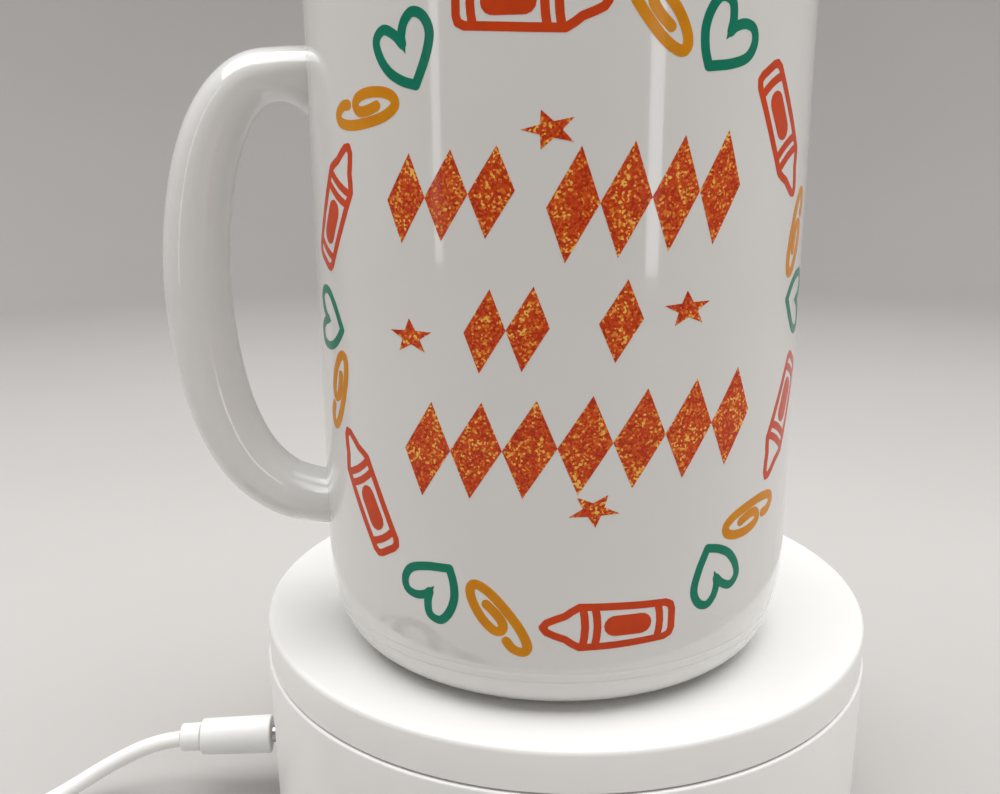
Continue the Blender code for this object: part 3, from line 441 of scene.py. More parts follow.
def spin(bm, outline, segments, x=0.0, y=0.0):
    """Adds a body turned about a vertical axis from (radius, height) points. An outline that starts
    off the axis is closed to a ring, and one that only starts on it stays open."""
    rings = []
    for radius, height in outline:
        count = segments if radius > 0 else 1
        steps = [polar(radius, 2 * pi * i / segments) for i in range(count)]
        rings.append([bm.verts.new(Vector((x + dx, y + dy, height)) * MM) for dx, dy in steps])
    pairs = list(zip(rings, rings[1:]))
    if len(rings[0]) > 1:
        pairs.append((rings[-1], rings[0]))
    for first, second in pairs:
        for i in range(segments):
            j = (i + 1) % segments
            corners = [first[i % len(first)], first[j % len(first)]]
            corners += [second[j % len(second)], second[i % len(second)]]
            bm.faces.new(list(dict.fromkeys(corners)))


def loft(bm, sections, closed_ends=True):
    """Adds a skin over rings of points, all with the same count, in millimetres."""
    rings = [[bm.verts.new(Vector(p) * MM) for p in section] for section in sections]
    for first, second in zip(rings, rings[1:]):
        for i in range(len(first)):
            j = (i + 1) % len(first)
            bm.faces.new((first[i], first[j], second[j], second[i]))
    if closed_ends:
        bm.faces.new(rings[0][::-1])
        bm.faces.new(rings[-1])


def block(bm, x, y, z):
    """Adds a box between the two limits given for each direction."""
    section = [(x[0], y[i], z[j]) for i, j in ((0, 0), (1, 0), (1, 1), (0, 1))]
    loft(bm, [section, [(x[1], py, pz) for _, py, pz in section]])


def soft_block(bm, x, y, z, edge):
    """Adds a box whose edges are rounded off."""
    sections = []
    ends = ((y[0], edge), (y[0] + 0.3 * edge, 0.3 * edge), (y[0] + edge, 0.0))
    ends += tuple((y[0] + y[1] - at, inset) for at, inset in ends[::-1])
    for at, inset in ends:
        low, high = (x[0] + inset, z[0] + inset), (x[1] - inset, z[1] - inset)
        corners = (low, (high[0], low[1]), high, (low[0], high[1]))
        outline = rounded([(px, pz, edge) for px, pz in corners], 3)
        sections.append([(px, at, pz) for px, pz in outline])
    loft(bm, sections)


def cylinder(bm, radius, low, high, x=0.0, y=0.0, segments=32):
    spin(bm, ((0, low), (radius, low), (radius, high), (0, high)), segments, x, y)


def borrow(bm, other):
    """Adds what is in another bmesh, which is used up."""
    mesh = bpy.data.meshes.new("borrowed")
    other.to_mesh(mesh)
    other.free()
    bm.from_mesh(mesh)
    bpy.data.meshes.remove(mesh)


def lay_out(bm, angle, height):
    """Turns what stands along Z to lie level, pointing away from the turntable's axis."""
    lie = Matrix.Rotation(angle, 4, "Z") @ Matrix.Rotation(pi / 2, 4, "Y")
    bm.transform(Matrix.Translation((0, 0, height * MM)) @ lie)


def face_outwards(bm):
    """Turns the faces of each separate body to point out of it."""
    bmesh.ops.recalc_face_normals(bm, faces=bm.faces)
    done = set()
    for seed in bm.faces:
        if seed in done:
            continue
        done.add(seed)
        body = [seed]
        for face in body:
            near = {other for edge in face.edges for other in edge.link_faces} - done
            done |= near
            body += near
        volume = sum(face.calc_center_median().dot(face.normal) * face.calc_area() for face in body)
        if volume < 0:
            bmesh.ops.reverse_faces(bm, faces=body)


def to_mesh(bm, name, sharp=32):
    face_outwards(bm)
    mesh = bpy.data.meshes.new(name)
    bm.to_mesh(mesh)
    bm.free()
    mesh.shade_smooth()
    mesh.set_sharp_from_angle(angle=radians(sharp))
    thing = bpy.data.objects.new(name, mesh)
    bpy.context.scene.collection.objects.link(thing)
    return thing


def add(bm, name, body, finish, replaces=(), sharp=32):
    """A finished piece that rides on a body."""
    return settle(to_mesh(bm, name, sharp), body, finish, replaces)


def settle(thing, body, finish, replaces=()):
    if not thing.data.materials:
        thing.data.materials.append(finish.material)
    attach(thing, body)
    if replaces:
        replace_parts(thing, *replaces)
    return thing


def without_slivers(mesh):
    """Takes out the tiny edges that a cut leaves behind."""
    bm = bmesh.new()
    bm.from_mesh(mesh)
    bmesh.ops.dissolve_degenerate(bm, dist=SHORTEST_EDGE * MM, edges=bm.edges)
    bm.to_mesh(mesh)
    bm.free()
    return mesh


def combine(thing, bm, operation, sharp=32):
    """Joins the bodies in a bmesh to an object, or cuts it with them."""
    other = to_mesh(bm, "other")
    step = thing.modifiers.new("step", "BOOLEAN")
    step.operation = operation
    step.object = other
    bpy.context.view_layer.update()
    graph = bpy.context.evaluated_depsgraph_get()
    result = bpy.data.meshes.new_from_object(thing.evaluated_get(graph))
    thing.modifiers.clear()
    thing.data = without_slivers(result)
    bpy.data.objects.remove(other)
    result.shade_smooth()
    result.set_sharp_from_angle(angle=radians(sharp))


# Camera, floor and light


def make_camera():
    data = bpy.data.cameras.new("camera")
    data.lens, data.sensor_width = CAMERA_LENS, CAMERA_SENSOR
    data.clip_start = 0.01
    camera = bpy.data.objects.new("camera", data)
    aim = Matrix.Rotation(-CAMERA_YAW, 4, "Z") @ Matrix.Rotation(pi / 2 + CAMERA_PITCH, 4, "X")
    aim = aim @ Matrix.Rotation(CAMERA_ROLL, 4, "Z")
    camera.matrix_world = Matrix.Translation(CAMERA_PLACE) @ aim
    bpy.context.scene.collection.objects.link(camera)
    bpy.context.scene.camera = camera


def make_studio(paper):
    """A round table of pale paper that curves up into a wall all round."""
    table, wall, top, bend, below_feet = 700.0, 1000.0, 900.0, 300.0, 0.05
    arc = [pi / 2 * i / 20 for i in range(21)]
    line = [(0.0, 0.0), (300.0, 0.0)]
    line += [(table + bend * sin(a), bend - bend * cos(a)) for a in arc]
    line += [(wall, top)]
    bm = bmesh.new()
    spin(bm, [(radius, height - below_feet) for radius, height in line], 96)
    floor = to_mesh(bm, "floor")
    floor.data.materials.append(paper.material)


def make_light(name, place, target, size, power):
    """An area light in metres, aimed at a point."""
    data = bpy.data.lights.new(name, "AREA")
    data.shape = "RECTANGLE"
    data.size, data.size_y = size
    data.energy = power
    lamp = bpy.data.objects.new(name, data)
    lamp.location = place
    lamp.rotation_euler = (Vector(target) - Vector(place)).to_track_quat("-Z", "Y").to_euler()
    bpy.context.scene.collection.objects.link(lamp)


def make_lights():
    make_light("overhead", (0.0, 0.0, 0.75), (0.0, 0.0, 0.0), (1.4, 0.7), 13.2)
    make_light("strip_right", (0.36, -0.42, 0.24), (0.0, 0.0, 0.09), (0.06, 0.42), 0.2)
    make_light("strip_left", (-0.42, -0.36, 0.24), (0.0, 0.0, 0.09), (0.04, 0.4), 0.10)
    make_light("front_fill", (0.0, -0.85, 0.45), (0.0, 0.0, 0.08), (0.9, 0.5), 0.1)
    world = bpy.data.worlds.new("studio")
    world.use_nodes = True
    world.node_tree.nodes["Background"].inputs["Color"].default_value = (0.80, 0.80, 0.82, 1.0)
    world.node_tree.nodes["Background"].inputs["Strength"].default_value = 0.10
    bpy.context.scene.world = world
    bpy.context.scene.view_settings.view_transform = "Standard"


# Power lead


def coil_line():
    """The coil's middle line. A lower layer is wound inwards, stepping in by one cable at the end
    of each turn. The cable then climbs, and an upper layer is wound back out."""
    points = []
    for i in range(int(COIL_TURNS * POINTS_PER_TURN) + 1):
        turn = i / POINTS_PER_TURN
        steps_in = sum(ease((turn - k - 0.75) / 0.25) for k in (0, 1, 2))
        steps_out = sum(ease((turn - k - 0.17) / 0.25) for k in (4, 5, 6))
        radius = COIL_OUTER_TURN - TURN_PITCH * (steps_in - steps_out)
        x, y = polar(radius, pi + 2 * pi * turn)
        height = LOWER_LAYER + LAYER_RISE * ease((turn - 3.42) / 0.33)
        points.append((COIL_CENTRE[0] + x, COIL_CENTRE[1] + y, height))
    return points


def make_cord(plastic):
    curve = bpy.data.curves.new("power_cord", "CURVE")
    curve.dimensions = "3D"
    curve.bevel_depth = CORD_DIAMETER / 2 * MM
    curve.bevel_resolution = 6
    curve.use_fill_caps = True
    line = smooth_line([*LEAD_ROUTE, *coil_line(), *TAIL_ROUTE], 3)
    spline = curve.splines.new("POLY")
    spline.points.add(len(line) - 1)
    for point, at in zip(spline.points, line):
        point.co = (*(at * MM), 1.0)
    cord = bpy.data.objects.new("power_cord", curve)
    bpy.context.scene.collection.objects.link(cord)
    curve.materials.append(plastic.material)
    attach(cord, "base")
    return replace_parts(cord, "cable_lead", "cable_coil", "cable_tail")


def make_jack_plug(plastic, metal):
    """The plug in the jack: a slightly tapered moulding, a collar round the cable, and the sleeve."""
    bm = bmesh.new()
    body = (
        (0, PLUG_FACE, 0),
        (PLUG_RADII[0], PLUG_FACE, 0.45),
        (PLUG_RADII[1], PLUG_END, 0.4),
        (PLUG_NECK_RADIUS, PLUG_END, 0),
        (PLUG_NECK_RADIUS, PLUG_END + PLUG_NECK_LENGTH, 0),
        (0, PLUG_END + PLUG_NECK_LENGTH, 0),
    )
    spin(bm, rounded(body), 64)
    lay_out(bm, ENTRY_ANGLE, ENTRY_Z)
    barrel = add(bm, "power_plug", "base", plastic, ["jack_plug_body"])
    bm = bmesh.new()
    neck = (
        (0, COLLAR_START, 0),
        (COLLAR_RADII[0], COLLAR_START, 0.3),
        (COLLAR_RADII[1], COLLAR_END, 0.35),
        (0, COLLAR_END, 0),
    )
    spin(bm, rounded(neck), 48)
    lay_out(bm, ENTRY_ANGLE, ENTRY_Z)
    collar = add(bm, "power_plug_collar", "base", plastic, ["jack_plug_collar"])
    bm = bmesh.new()
    low, high = SLEEVE_ENDS
    sleeve = (
        (SLEEVE_BORE, low, 0.1),
        (SLEEVE_RADIUS, low, 0.25),
        (SLEEVE_RADIUS, high, 0),
        (SLEEVE_BORE, high, 0),
    )
    spin(bm, rounded(sleeve), 40)
    lay_out(bm, ENTRY_ANGLE, ENTRY_Z)
    tip = add(bm, "power_plug_sleeve", "base", metal, ["jack_plug_tip"])
    return [barrel, collar, tip]


def soft_frame(x, z, rounding):
    """The outline of a rectangle with rounded corners."""
    corners = ((x[0], z[0]), (x[1], z[0]), (x[1], z[1]), (x[0], z[1]))
    return rounded([(px, pz, rounding) for px, pz in corners])


def make_tie(plastic):
    """A soft strap round the coil's turns, its end lapped over with grip ribs."""
    bm = bmesh.new()
    low, high = 0.03, LOWER_LAYER + LAYER_RISE + CORD_DIAMETER / 2 + 0.35
    half, skin = TIE_HALF_WIDTH, TIE_SKIN
    outside = soft_frame((TIE_NEAR - skin, TIE_FAR + skin), (low, high), TIE_ROUNDING)
    inside = soft_frame((TIE_NEAR, TIE_FAR), (low + skin, high - skin), TIE_ROUNDING)
    rings = [[(x, y, z) for x, z in line] for line, y in ((outside, -half), (outside, half))]
    rings += [[(x, y, z) for x, z in line] for line, y in ((inside, half), (inside, -half))]
    loft(bm, rings + rings[:1], False)
    bmesh.ops.remove_doubles(bm, verts=bm.verts, dist=1e-7)
    block(bm, (13.5, 22.5), (1 - half, half - 1), (high + 0.02, high + 0.4))
    for i in range(5):
        rib = (18.0 + 0.9 * i, 18.5 + 0.9 * i)
        block(bm, rib, (1.4 - half, half - 1.4), (high + 0.3, high + 0.65))
    turn = Matrix.Rotation(TIE_ANGLE, 4, "Z")
    bm.transform(Matrix.Translation(Vector((*COIL_CENTRE, 0)) * MM) @ turn)
    return add(bm, "cable_tie", "base", plastic)


def make_usb_grip(plastic, y, z):
    """A moulded grip with ribs at its neck."""
    start, end = USB_GRIP
    bm = bmesh.new()
    steps = [(0.0, 3.4, 2.9), (0.4, 4.0, 3.2)]
    for i in range(4):
        at = 0.9 + 1.5 * i
        steps += [(at, 4.2 + 0.25 * i, 3.25), (at + 0.15, 3.8 + 0.25 * i, 2.95)]
        steps += [(at + 0.75, 3.8 + 0.25 * i, 2.95), (at + 0.9, 4.2 + 0.25 * i, 3.25)]
    steps += [(7.6, 6.2, 3.6), (9.4, 7.4, 3.9), (11.0, 7.7, 4.0), (end - start - 1.0, 7.75, 4.0)]
    steps += [(end - start - 0.3, 7.5, 3.8), (end - start, 6.9, 3.3)]
    sections = []
    for along, wide, high in steps:
        corners = [(wide, high), (-wide, high), (-wide, -high), (wide, -high)]
        outline = rounded([(py, pz, min(2.6, high * 0.8)) for py, pz in corners])
        sections.append([(start + along, y + py, z + pz) for py, pz in outline])
    loft(bm, sections)
    return add(bm, "usb_plug_grip", "base", plastic, ["usb_plug_body"], 50)


def make_usb_shell(metal, y, z, back, front):
    """A folded metal shell with four windows."""
    bm = bmesh.new()
    wide, high, skin = USB_SHELL_HALF_WIDTH, USB_SHELL_HALF_HEIGHT, USB_SHELL_SKIN
    sections = []
    for px, w, h in (
        (back, wide, high),
        (front - 0.2, wide, high),
        (front, wide - 0.15, high - 0.15),
        (front, wide - skin, high - skin),
        (back + 2.0, wide - skin, high - skin),
    ):
        outline = rounded([(w, h, 0.5), (-w, h, 0.5), (-w, -h, 0.5), (w, -h, 0.5)], 4)
        sections.append([(px, y + py, z + pz) for py, pz in outline])
    loft(bm, sections)
    shell = to_mesh(bm, "usb_plug_metal_shell")
    bm = bmesh.new()
    for side in (-1, 1):
        for level in (-1, 1):
            window_y = (y + side * 2.9 - 1.05, y + side * 2.9 + 1.05)
            window_z = sorted((z + level * 1.2, z + level * 3.0))
            block(bm, (back + 5.2, back + 7.4), window_y, window_z)
    combine(shell, bm, "DIFFERENCE")
    return settle(shell, "base", metal, ["usb_plug_shell"])


def make_usb_plug(plastic, metal, contact_metal):
    """The plug at the lead's far end: its grip, shell, tongue and contacts."""
    y, z = TAIL_ROUTE[-1][1], USB_Z
    back = USB_GRIP[1] + 0.3
    front = back + USB_SHELL_LENGTH
    grip = make_usb_grip(plastic, y, z)
    shell = make_usb_shell(metal, y, z, back, front)
    bm = bmesh.new()
    soft_block(bm, (back + 2.1, front - 1.0), (y - 5.4, y + 5.4), (z - 1.75, z - 0.1), 0.2)
    tongue = add(bm, "usb_plug_tongue", "base", plastic)
    bm = bmesh.new()
    for at, reach in ((-3.5, 1.6), (-1.0, 2.6), (1.0, 2.6), (3.5, 1.6)):
        block(bm, (back + 3.0, front - reach), (y + at - 0.5, y + at + 0.5), (z - 0.2, z + 0.02))
    contacts = add(bm, "usb_plug_contacts", "base", contact_metal)
    return [grip, shell, tongue, contacts]


# Mug


LOWER_WALL_LINE = smooth_line(LOWER_WALL, 6)


def wall_radius(height):
    """The mug's outer radius at a height above its foot, without the ridges."""
    if height >= LOWER_WALL[-1][0]:
        return MUG_RADIUS
    for low, high in zip(LOWER_WALL_LINE, LOWER_WALL_LINE[1:]):
        if height <= high.x:
            share = max(0.0, (height - low.x) / (high.x - low.x))
            return low.y + share * (high.y - low.y)
    return MUG_RADIUS


def ridged(height):
    """The wall's radius with the fine turning ridges round the lower corner."""
    rise = sum(max(0.0, 1 - ((height - at) / RIDGE_WIDTH) ** 2) for at in RIDGES)
    return wall_radius(height) + RIDGE_RISE * rise


def mug_outline():
    """The cup's outline, from under its foot up the wall, over the lip and down to the floor of its
    well. The levels are close together where the ridges are."""
    inside = MUG_RADIUS - MUG_WALL
    recess = ((0, FOOT_RECESS, 0), (29.3, FOOT_RECESS, 1.0), (30.9, 0.9, 0.8), (31.6, 0.0, 0.6))
    foot = rounded(recess)
    levels = [0.0, 0.1, 0.3, 0.6, 1.0, 1.4, 1.9, 2.4, 3.0, 3.8, 4.6, 5.4]
    levels += [5.8 + 0.1 * i for i in range(32)]
    levels += [9.4, 10.4, 11.6, 13.0, 14.8, 16.6]
    levels += [18.3 + 3.3 * i for i in range(30)]
    wall = [(ridged(level), level) for level in levels]
    wall[0] = (FOOT_RING, 0.0)
    lip = rounded(
        (
            (MUG_RADIUS, MUG_HEIGHT - 2.2, 0),
            (MUG_RADIUS, MUG_HEIGHT, 2.1),
            (inside, MUG_HEIGHT, 2.1),
            (inside, MUG_HEIGHT - 2.4, 0),
        ),
        8,
    )
    well = [(inside, MUG_HEIGHT - 6 - 5.4 * i) for i in range(18)]
    well += rounded(((inside, 16.5, 0), (inside, 7.4, 8.0), (inside - 9, 7.1, 0)), 10)
    well += [(20.0, CUP_FLOOR), (8.0, CUP_FLOOR), (0.0, CUP_FLOOR)]
    return [(r, MUG_FOOT + h) for r, h in foot + wall + lip + well]


def handle_sections():
    """Ovals along the handle's route."""
    line = smooth_line(HANDLE_ROUTE, 7)
    sides = 40
    sections = []
    for before, here, after in zip([line[0]] + line, line, line[1:] + [line[-1]]):
        along = after - before
        outwards = Vector((-along.z, 0.0, along.x)).normalized()
        near_wall = max(0.0, 1 - max(0.0, here.x - MUG_RADIUS) / FLARE_REACH)
        flare = FLARE_DEPTH * near_wall**2 if here.z > 110 else 0.0
        section = []
        for i in range(sides):
            angle = 2 * pi * i / sides
            out = here.y * cos(angle) - flare * min(0.0, cos(angle)) ** 2
            across = Vector((0.0, HANDLE_HALF_WIDTH * sin(angle), 0.0))
            section.append(Vector((here.x, 0.0, here.z)) + outwards * out + across)
        sections.append(section)
    return sections


def make_mug(glazed, bare):
    bm = bmesh.new()
    spin(bm, mug_outline(), CUP_SEGMENTS, MUG_X, MUG_Y)
    mug = to_mesh(bm, "mug_glazed", 30)
    bm = bmesh.new()
    loft(bm, handle_sections())
    turn = Matrix.Rotation(HANDLE_ANGLE, 4, "Z")
    bm.transform(Matrix.Translation((MUG_X * MM, MUG_Y * MM, 0)) @ turn)
    combine(mug, bm, "UNION", 30)
    mug.data.materials.clear()
    mug.data.materials.append(glazed.material)
    mug.data.materials.append(bare.material)
    for face in mug.data.polygons:
        face.material_index = int(face.center.z < (MUG_FOOT + BARE_UP_TO) * MM)
    settle(mug, "mug_body", glazed, ["mug"])


# Print on the mug: flat shapes on the unrolled wall, merged, cut into strips and wrapped round it


def moved(shape, x, y, turn_deg=0.0):
    """A flat shape turned and then moved."""
    c, s = cos(radians(turn_deg)), sin(radians(turn_deg))
    return [(x + c * px - s * py, y + s * px + c * py) for px, py in shape]


def drawn(line, width=PEN):
    """Overlapping shapes that cover a line drawn with a round pen."""
    dot = [polar(width / 2, 2 * pi * i / 14) for i in range(14)]
    shapes = [moved(dot, *at[:2]) for at in line]
    for start, end in zip(line, line[1:]):
        along = Vector((end[0] - start[0], end[1] - start[1]))
        if along.length > 0:
            aside = along.normalized().orthogonal() * width / 2
            a, b = Vector(start[:2]), Vector(end[:2])
            shapes.append([tuple(p) for p in (a - aside, b - aside, b + aside, a + aside)])
    return shapes


def heart():
    """A heart drawn freehand, one lobe larger than the other, with a sharp notch."""
    right = (
        (0.4, 0.9),
        (0.7, 2.0),
        (1.9, 3.5),
        (3.7, 4.1),
        (5.1, 2.8),
        (5.2, 0.4),
        (3.3, -2.3),
        (0.3, -5.1),
    )
    left = (
        (0.4, 0.9),
        (-0.4, 2.6),
        (-2.0, 4.1),
        (-3.9, 3.4),
        (-4.2, 1.1),
        (-3.4, -1.5),
        (-1.7, -3.6),
        (0.3, -5.1),
    )
    shapes = [[(-0.35, 1.2), (0.4, -0.5), (1.15, 1.2)]]
    for side in (right, left):
        shapes += drawn([tuple(p) for p in smooth_line(side, 4)])
    return shapes


def clip():
    """A paper clip seen at a slant, a loose spiral."""
    route = (
        (-3.9, 0.6),
        (-5.5, 0.4),
        (-6.8, -0.8),
        (-6.1, -2.0),
        (-3.2, -2.4),
        (0.6, -2.0),
        (4.3, -1.1),
        (6.5, 0.3),
        (6.2, 1.6),
        (4.2, 2.3),
        (1.2, 2.3),
        (-1.3, 1.6),
        (-2.0, 0.5),
        (-1.0, -0.4),
        (1.0, -0.2),
        (2.9, 0.4),
    )
    return drawn([tuple(p) for p in smooth_line(route, 3)], BROAD_PEN)


def pencil():
    """A stubby pencil, its point towards +X."""
    half = (
        (10.5, 0.0),
        (9.9, 0.8),
        (8.6, 1.4),
        (7.0, 2.0),
        (5.9, 2.8),
        (4.7, 3.5),
        (-0.6, 3.35),
        (-9.3, 2.95),
        (-10.2, 2.5),
        (-10.5, 1.6),
        (-10.5, 0.0),
    )
    shapes = drawn(half, THIN_PEN) + drawn([(x, -y) for x, y in half], THIN_PEN)
    for x, reach in ((4.25, 3.5), (2.3, 3.4), (-8.0, 3.0)):
        bow = [(x - 0.4 * cos(pi / 2 * t), reach * t) for t in (-1, -0.5, 0, 0.5, 1)]
        shapes += drawn(bow, THIN_PEN)
    shapes += drawn(((-5.2, 0.0), (-0.9, 0.0)), 3.5)
    return shapes


def star(turn_deg):
    """A five-pointed star, turned and then flattened."""
    points = [polar(0.42 if i % 2 else 1.0, radians(turn_deg) + pi / 2 + pi / 5 * i) for i in range(10)]
    return [(x * STAR_HALF_WIDTH, y * STAR_HALF_HEIGHT) for x, y in points]


def ring_of(shapes, out, at, turn):
    """Copies of an icon round the ring, each turned clockwise with its place."""
    copies = []
    for i in range(RING_COUNT):
        step = 360 / RING_COUNT * i
        x = RING_CENTRE[0] + RING_STRETCH * out * sin(radians(at + step))
        y = RING_CENTRE[1] + out * cos(radians(at + step))
        copies += [moved(shape, x, y, turn - step) for shape in shapes]
    return copies


def lozenges():
    """Rows of leaning lozenges that rise to the right."""
    shapes = []
    for left, right, foot, height, count in LOZENGE_ROWS:
        pitch = (right - left) / count
        for i in range(count):
            x = left + pitch * (i + 0.5)
            y = foot + ROW_SLOPE * (x - left) + height / 2
            half, up = pitch * 0.5, height / 2
            lean, tilt = LOZENGE_LEAN * up, 0.08 * half
            corners = ((-lean, -up), (half, tilt), (lean, up), (-half, -tilt))
            shapes.append([(x + dx, y + dy) for dx, dy in corners])
    return shapes


def merged(shapes):
    """A flat bmesh of the ground that these overlapping shapes cover, holes left open."""
    corners, faces = [], []
    for shape in shapes:
        faces.append(list(range(len(corners), len(corners) + len(shape))))
        corners += [Vector(p) for p in shape]
    points, _, triangles, _, _, covered = geometry.delaunay_2d_cdt(corners, [], faces, 1, 1e-4)
    bm = bmesh.new()
    vertices = [bm.verts.new((p.x, p.y, 0.0)) for p in points]
    for triangle, sources in zip(triangles, covered):
        if sources:
            bm.faces.new([vertices[i] for i in triangle])
    bmesh.ops.delete(bm, geom=[v for v in bm.verts if not v.link_faces], context="VERTS")
    bmesh.ops.dissolve_limit(bm, angle_limit=0.01, verts=bm.verts, edges=bm.edges)
    return bm


def slice_up(bm, limits, step, across):
    """Cuts a flat bmesh along parallel lines, so that it can bend."""
    low, high = limits
    normal = (1, 0, 0) if across else (0, 1, 0)
    for i in range(int((high - low) / step) + 1):
        at = low + step * i
        place = (at, 0, 0) if across else (0, at, 0)
        everything = [*bm.verts, *bm.edges, *bm.faces]
        bmesh.ops.bisect_plane(bm, geom=everything, dist=1e-5, plane_co=place, plane_no=normal)


def print_on_mug(name, shapes, finish):
    """Makes flat shapes into a thin layer of ink on the mug's wall."""
    bm = merged(shapes)
    slice_up(bm, PRINT_ACROSS, UPRIGHT_STRIP, True)
    slice_up(bm, PRINT_ON_CORNER, LEVEL_STRIP, False)
    top = bmesh.ops.extrude_face_region(bm, geom=list(bm.faces))["geom"]
    raised = [v for v in top if isinstance(v, bmesh.types.BMVert)]
    bmesh.ops.translate(bm, verts=raised, vec=(0, 0, 1))
    for vertex in bm.verts:
        across, height, level = vertex.co
        lift = PRINT_PROUD if level > 0.5 else -PRINT_SUNK
        angle = across / MUG_RADIUS - pi / 2
        x, y = polar(wall_radius(height) + lift, angle)
        vertex.co = Vector((MUG_X + x, MUG_Y + y, PLATTER_TOP + height)) * MM
    add(bm, name, "mug_body", finish, sharp=40)


def make_print():
    green = ink("green_ink", (0.001, 0.185, 0.108))
    print_on_mug("print_hearts", ring_of(heart(), HEART_OUT, HEART_AT, HEART_TURN), green)
    amber = ink("amber_ink", (0.64, 0.235, 0.0))
    print_on_mug("print_clips", ring_of(clip(), CLIP_OUT, CLIP_AT, CLIP_TURN), amber)
    orange = ink("orange_ink", (0.57, 0.050, 0.004))
    print_on_mug("print_pencils", ring_of(pencil(), PENCIL_OUT, PENCIL_AT, PENCIL_TURN), orange)
    glitter = glitter_ink()
    print_on_mug("print_stars", [moved(star(turn), x, y) for x, y, turn in STARS], glitter)
    print_on_mug("print_lozenges", lozenges(), glitter)


# Turntable


def make_platter(plastic):
    outline = (
        (0, PLATTER_TOP, 0),
        (PLATTER_RADIUS, PLATTER_TOP, 1.1),
        (PLATTER_RADIUS, SKIRT_BOTTOM, 0.25),
        (SKIRT_INSIDE, SKIRT_BOTTOM, 0.3),
        (SKIRT_INSIDE, PLATTER_UNDERSIDE, 0.5),
        (HUB_RADIUS, PLATTER_UNDERSIDE, 0.5),
        (HUB_RADIUS, HUB_END, 0.3),
        (SPINDLE_SOCKET, HUB_END, 0),
        (SPINDLE_SOCKET, SOCKET_END, 0),
        (0, SOCKET_END, 0),
    )
    bm = bmesh.new()
    spin(bm, rounded(outline, 6), DISC_SEGMENTS)
    add(bm, "platter_top", "turning_top", plastic, ["platter"], 40)


def add_turned(bm, made, angle_deg):
    """Adds what is in another bmesh, turned about the turntable's axis."""
    made.transform(Matrix.Rotation(radians(angle_deg), 4, "Z"))
    borrow(bm, made)


def housing_shell():
    """The round wall and the deck, with the bush's boss."""
    outline = (
        (HOUSING_INSIDE, HOUSING_FOOT, 0.2),
        (HOUSING_RADIUS - DRAFT, HOUSING_FOOT, 0.4),
        (HOUSING_RADIUS + DRAFT, DECK_TOP, 0.5),
        (BUSH_HOLE, DECK_TOP, 0.2),
        (BUSH_HOLE, BUSH_BOSS_END, 0.1),
        (BUSH_BOSS, BUSH_BOSS_END, 0.2),
        (BUSH_BOSS, DECK_BOTTOM, 0.3),
        (HOUSING_INSIDE, DECK_BOTTOM, 0.6),
    )
    bm = bmesh.new()
    spin(bm, rounded(outline, 6), DISC_SEGMENTS)
    return to_mesh(bm, "housing")


def housing_posts():
    """The posts under the deck, and the ears that hold the rollers' axles."""
    bm = bmesh.new()
    for x, y, radius, low in POSTS:
        cylinder(bm, radius, low, DECK_BOTTOM + 0.5, x, y)
    for angle in COVER_SCREW_ANGLES:
        x, y = polar(COVER_SCREW_CIRCLE, radians(angle))
        cylinder(bm, SCREW_POST, SCREW_POST_END, DECK_BOTTOM + 0.5, x, y)
    for angle in ROLLER_ANGLES:
        for along in ROLLER_EARS:
            middle = ROLLER_CIRCLE + along
            thick = (middle - EAR_HALF_THICKNESS, middle + EAR_HALF_THICKNESS)
            ear = bmesh.new()
            block(ear, thick, (-EAR_HALF_WIDTH, EAR_HALF_WIDTH), EAR_HEIGHTS)
            add_turned(bm, ear, angle)
    return bm


def housing_openings():
    """The rollers' slots, the screws' holes, and the openings for the switch and the plug."""
    bm = bmesh.new()
    along, across, up = ROLLER_SLOT
    for angle in ROLLER_ANGLES:
        slot = bmesh.new()
        block(slot, (ROLLER_CIRCLE + along[0], ROLLER_CIRCLE + along[1]), across, up)
        add_turned(bm, slot, angle)
    for angle in COVER_SCREW_ANGLES:
        x, y = polar(COVER_SCREW_CIRCLE, radians(angle))
        cylinder(bm, SCREW_HOLE, *SCREW_HOLE_ENDS, x, y)
    half_x, half_z = SWITCH_SLOT
    block(bm, (-half_x, half_x), SWITCH_SLOT_ENDS, (SWITCH_Z - half_z, SWITCH_Z + half_z))
    entry = bmesh.new()
    low, neck, high = JACK_HOLE_ENDS
    mouth = JACK_HOLE + JACK_CHAMFER
    spin(entry, ((0, low), (JACK_HOLE, low), (JACK_HOLE, neck), (mouth, high), (0, high)), 64)
    lay_out(entry, ENTRY_ANGLE, ENTRY_Z)
    borrow(bm, entry)
    return bm


def make_housing(plastic):
    housing = housing_shell()
    combine(housing, housing_posts(), "UNION")
    combine(housing, housing_openings(), "DIFFERENCE", 40)
    settle(housing, "base", plastic, ["base_housing"])


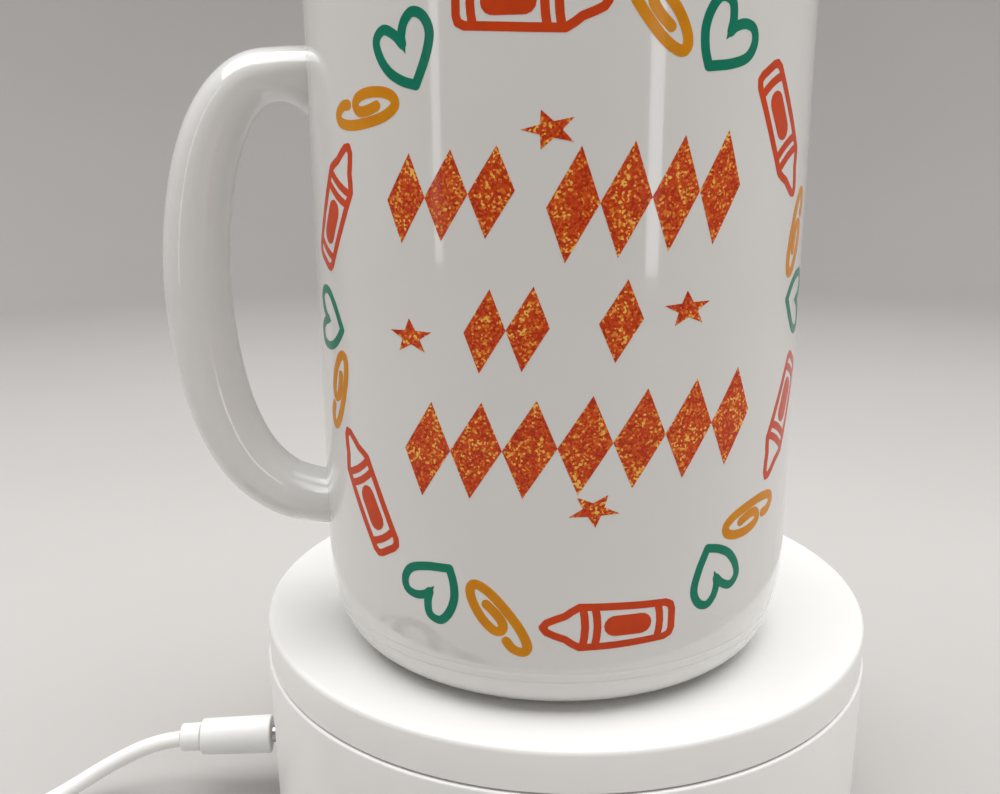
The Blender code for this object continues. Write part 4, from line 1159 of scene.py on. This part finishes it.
def make_switch_knob(plastic):
    """The switch's knob, with grip ribs on its end."""
    lo, hi = [corner * 1000 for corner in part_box("switch_slider")]
    bm = bmesh.new()
    face = hi.y - KNOB_RIB_HEIGHT
    soft_block(bm, (lo.x, hi.x), (lo.y, face), (lo.z, hi.z), KNOB_ROUNDING)
    for i in range(KNOB_RIBS):
        at = lo.x + 0.3 + KNOB_RIB_PITCH * i
        rib = (at, at + KNOB_RIB_WIDTH)
        block(bm, rib, (face - 0.25, hi.y), (lo.z + KNOB_ROUNDING, hi.z - KNOB_ROUNDING))
    add(bm, "switch_knob", "slider", plastic, ["switch_slider"])


# What stays as the CAD has it


def finish_cad_nodes(finishes):
    """Gives each CAD node that still shows its finish. Its mesh stays as it is."""
    for part in frame["record"]["subparts"]:
        node = frame["nodes"][part["node"]]
        if not node.hide_render:
            node.data.materials.clear()
            node.data.materials.append(finishes[part["material_slot"]].material)


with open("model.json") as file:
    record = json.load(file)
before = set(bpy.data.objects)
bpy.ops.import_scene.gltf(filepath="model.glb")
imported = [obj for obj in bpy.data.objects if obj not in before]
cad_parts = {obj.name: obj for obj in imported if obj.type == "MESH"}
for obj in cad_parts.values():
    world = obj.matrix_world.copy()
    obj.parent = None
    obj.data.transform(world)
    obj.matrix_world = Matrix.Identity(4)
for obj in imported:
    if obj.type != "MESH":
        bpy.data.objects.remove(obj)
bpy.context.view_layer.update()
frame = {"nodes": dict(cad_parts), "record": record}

make_camera()
cable = cable_plastic()
finishes = {
    "white_shell": shell_plastic(),
    "white_glaze": glaze(),
    "white_cable": cable,
    "black_rubber": rubber(),
    "natural_nylon": nylon(),
    "black_plastic": black_plastic(),
    "steel": brushed("steel", (0.56, 0.56, 0.57), 0.3),
    "brass": brushed("brass", (0.66, 0.46, 0.20), 0.28),
    "copper_winding": winding(),
    "ferrite": ferrite(),
    "green_board": board(),
    "red_wire": insulation("red_wire", (0.5, 0.025, 0.015)),
    "black_wire": insulation("black_wire", (0.02, 0.02, 0.022)),
}
cord = make_cord(cable)
plug_pieces = make_jack_plug(cable, finishes["steel"])
plug_pieces += make_usb_plug(cable, finishes["steel"], finishes["brass"])
plug_pieces.append(make_tie(cable))
for piece in [cord, *plug_pieces]:
    piece.visible_glossy = False  # the lead that is put away out of view isn't mirrored in the mug
make_platter(finishes["white_shell"])
make_housing(finishes["white_shell"])
make_switch_knob(finishes["black_plastic"])
make_mug(finishes["white_glaze"], bare_ceramic())
make_print()
finish_cad_nodes(finishes)
make_studio(studio_paper())
make_lights()
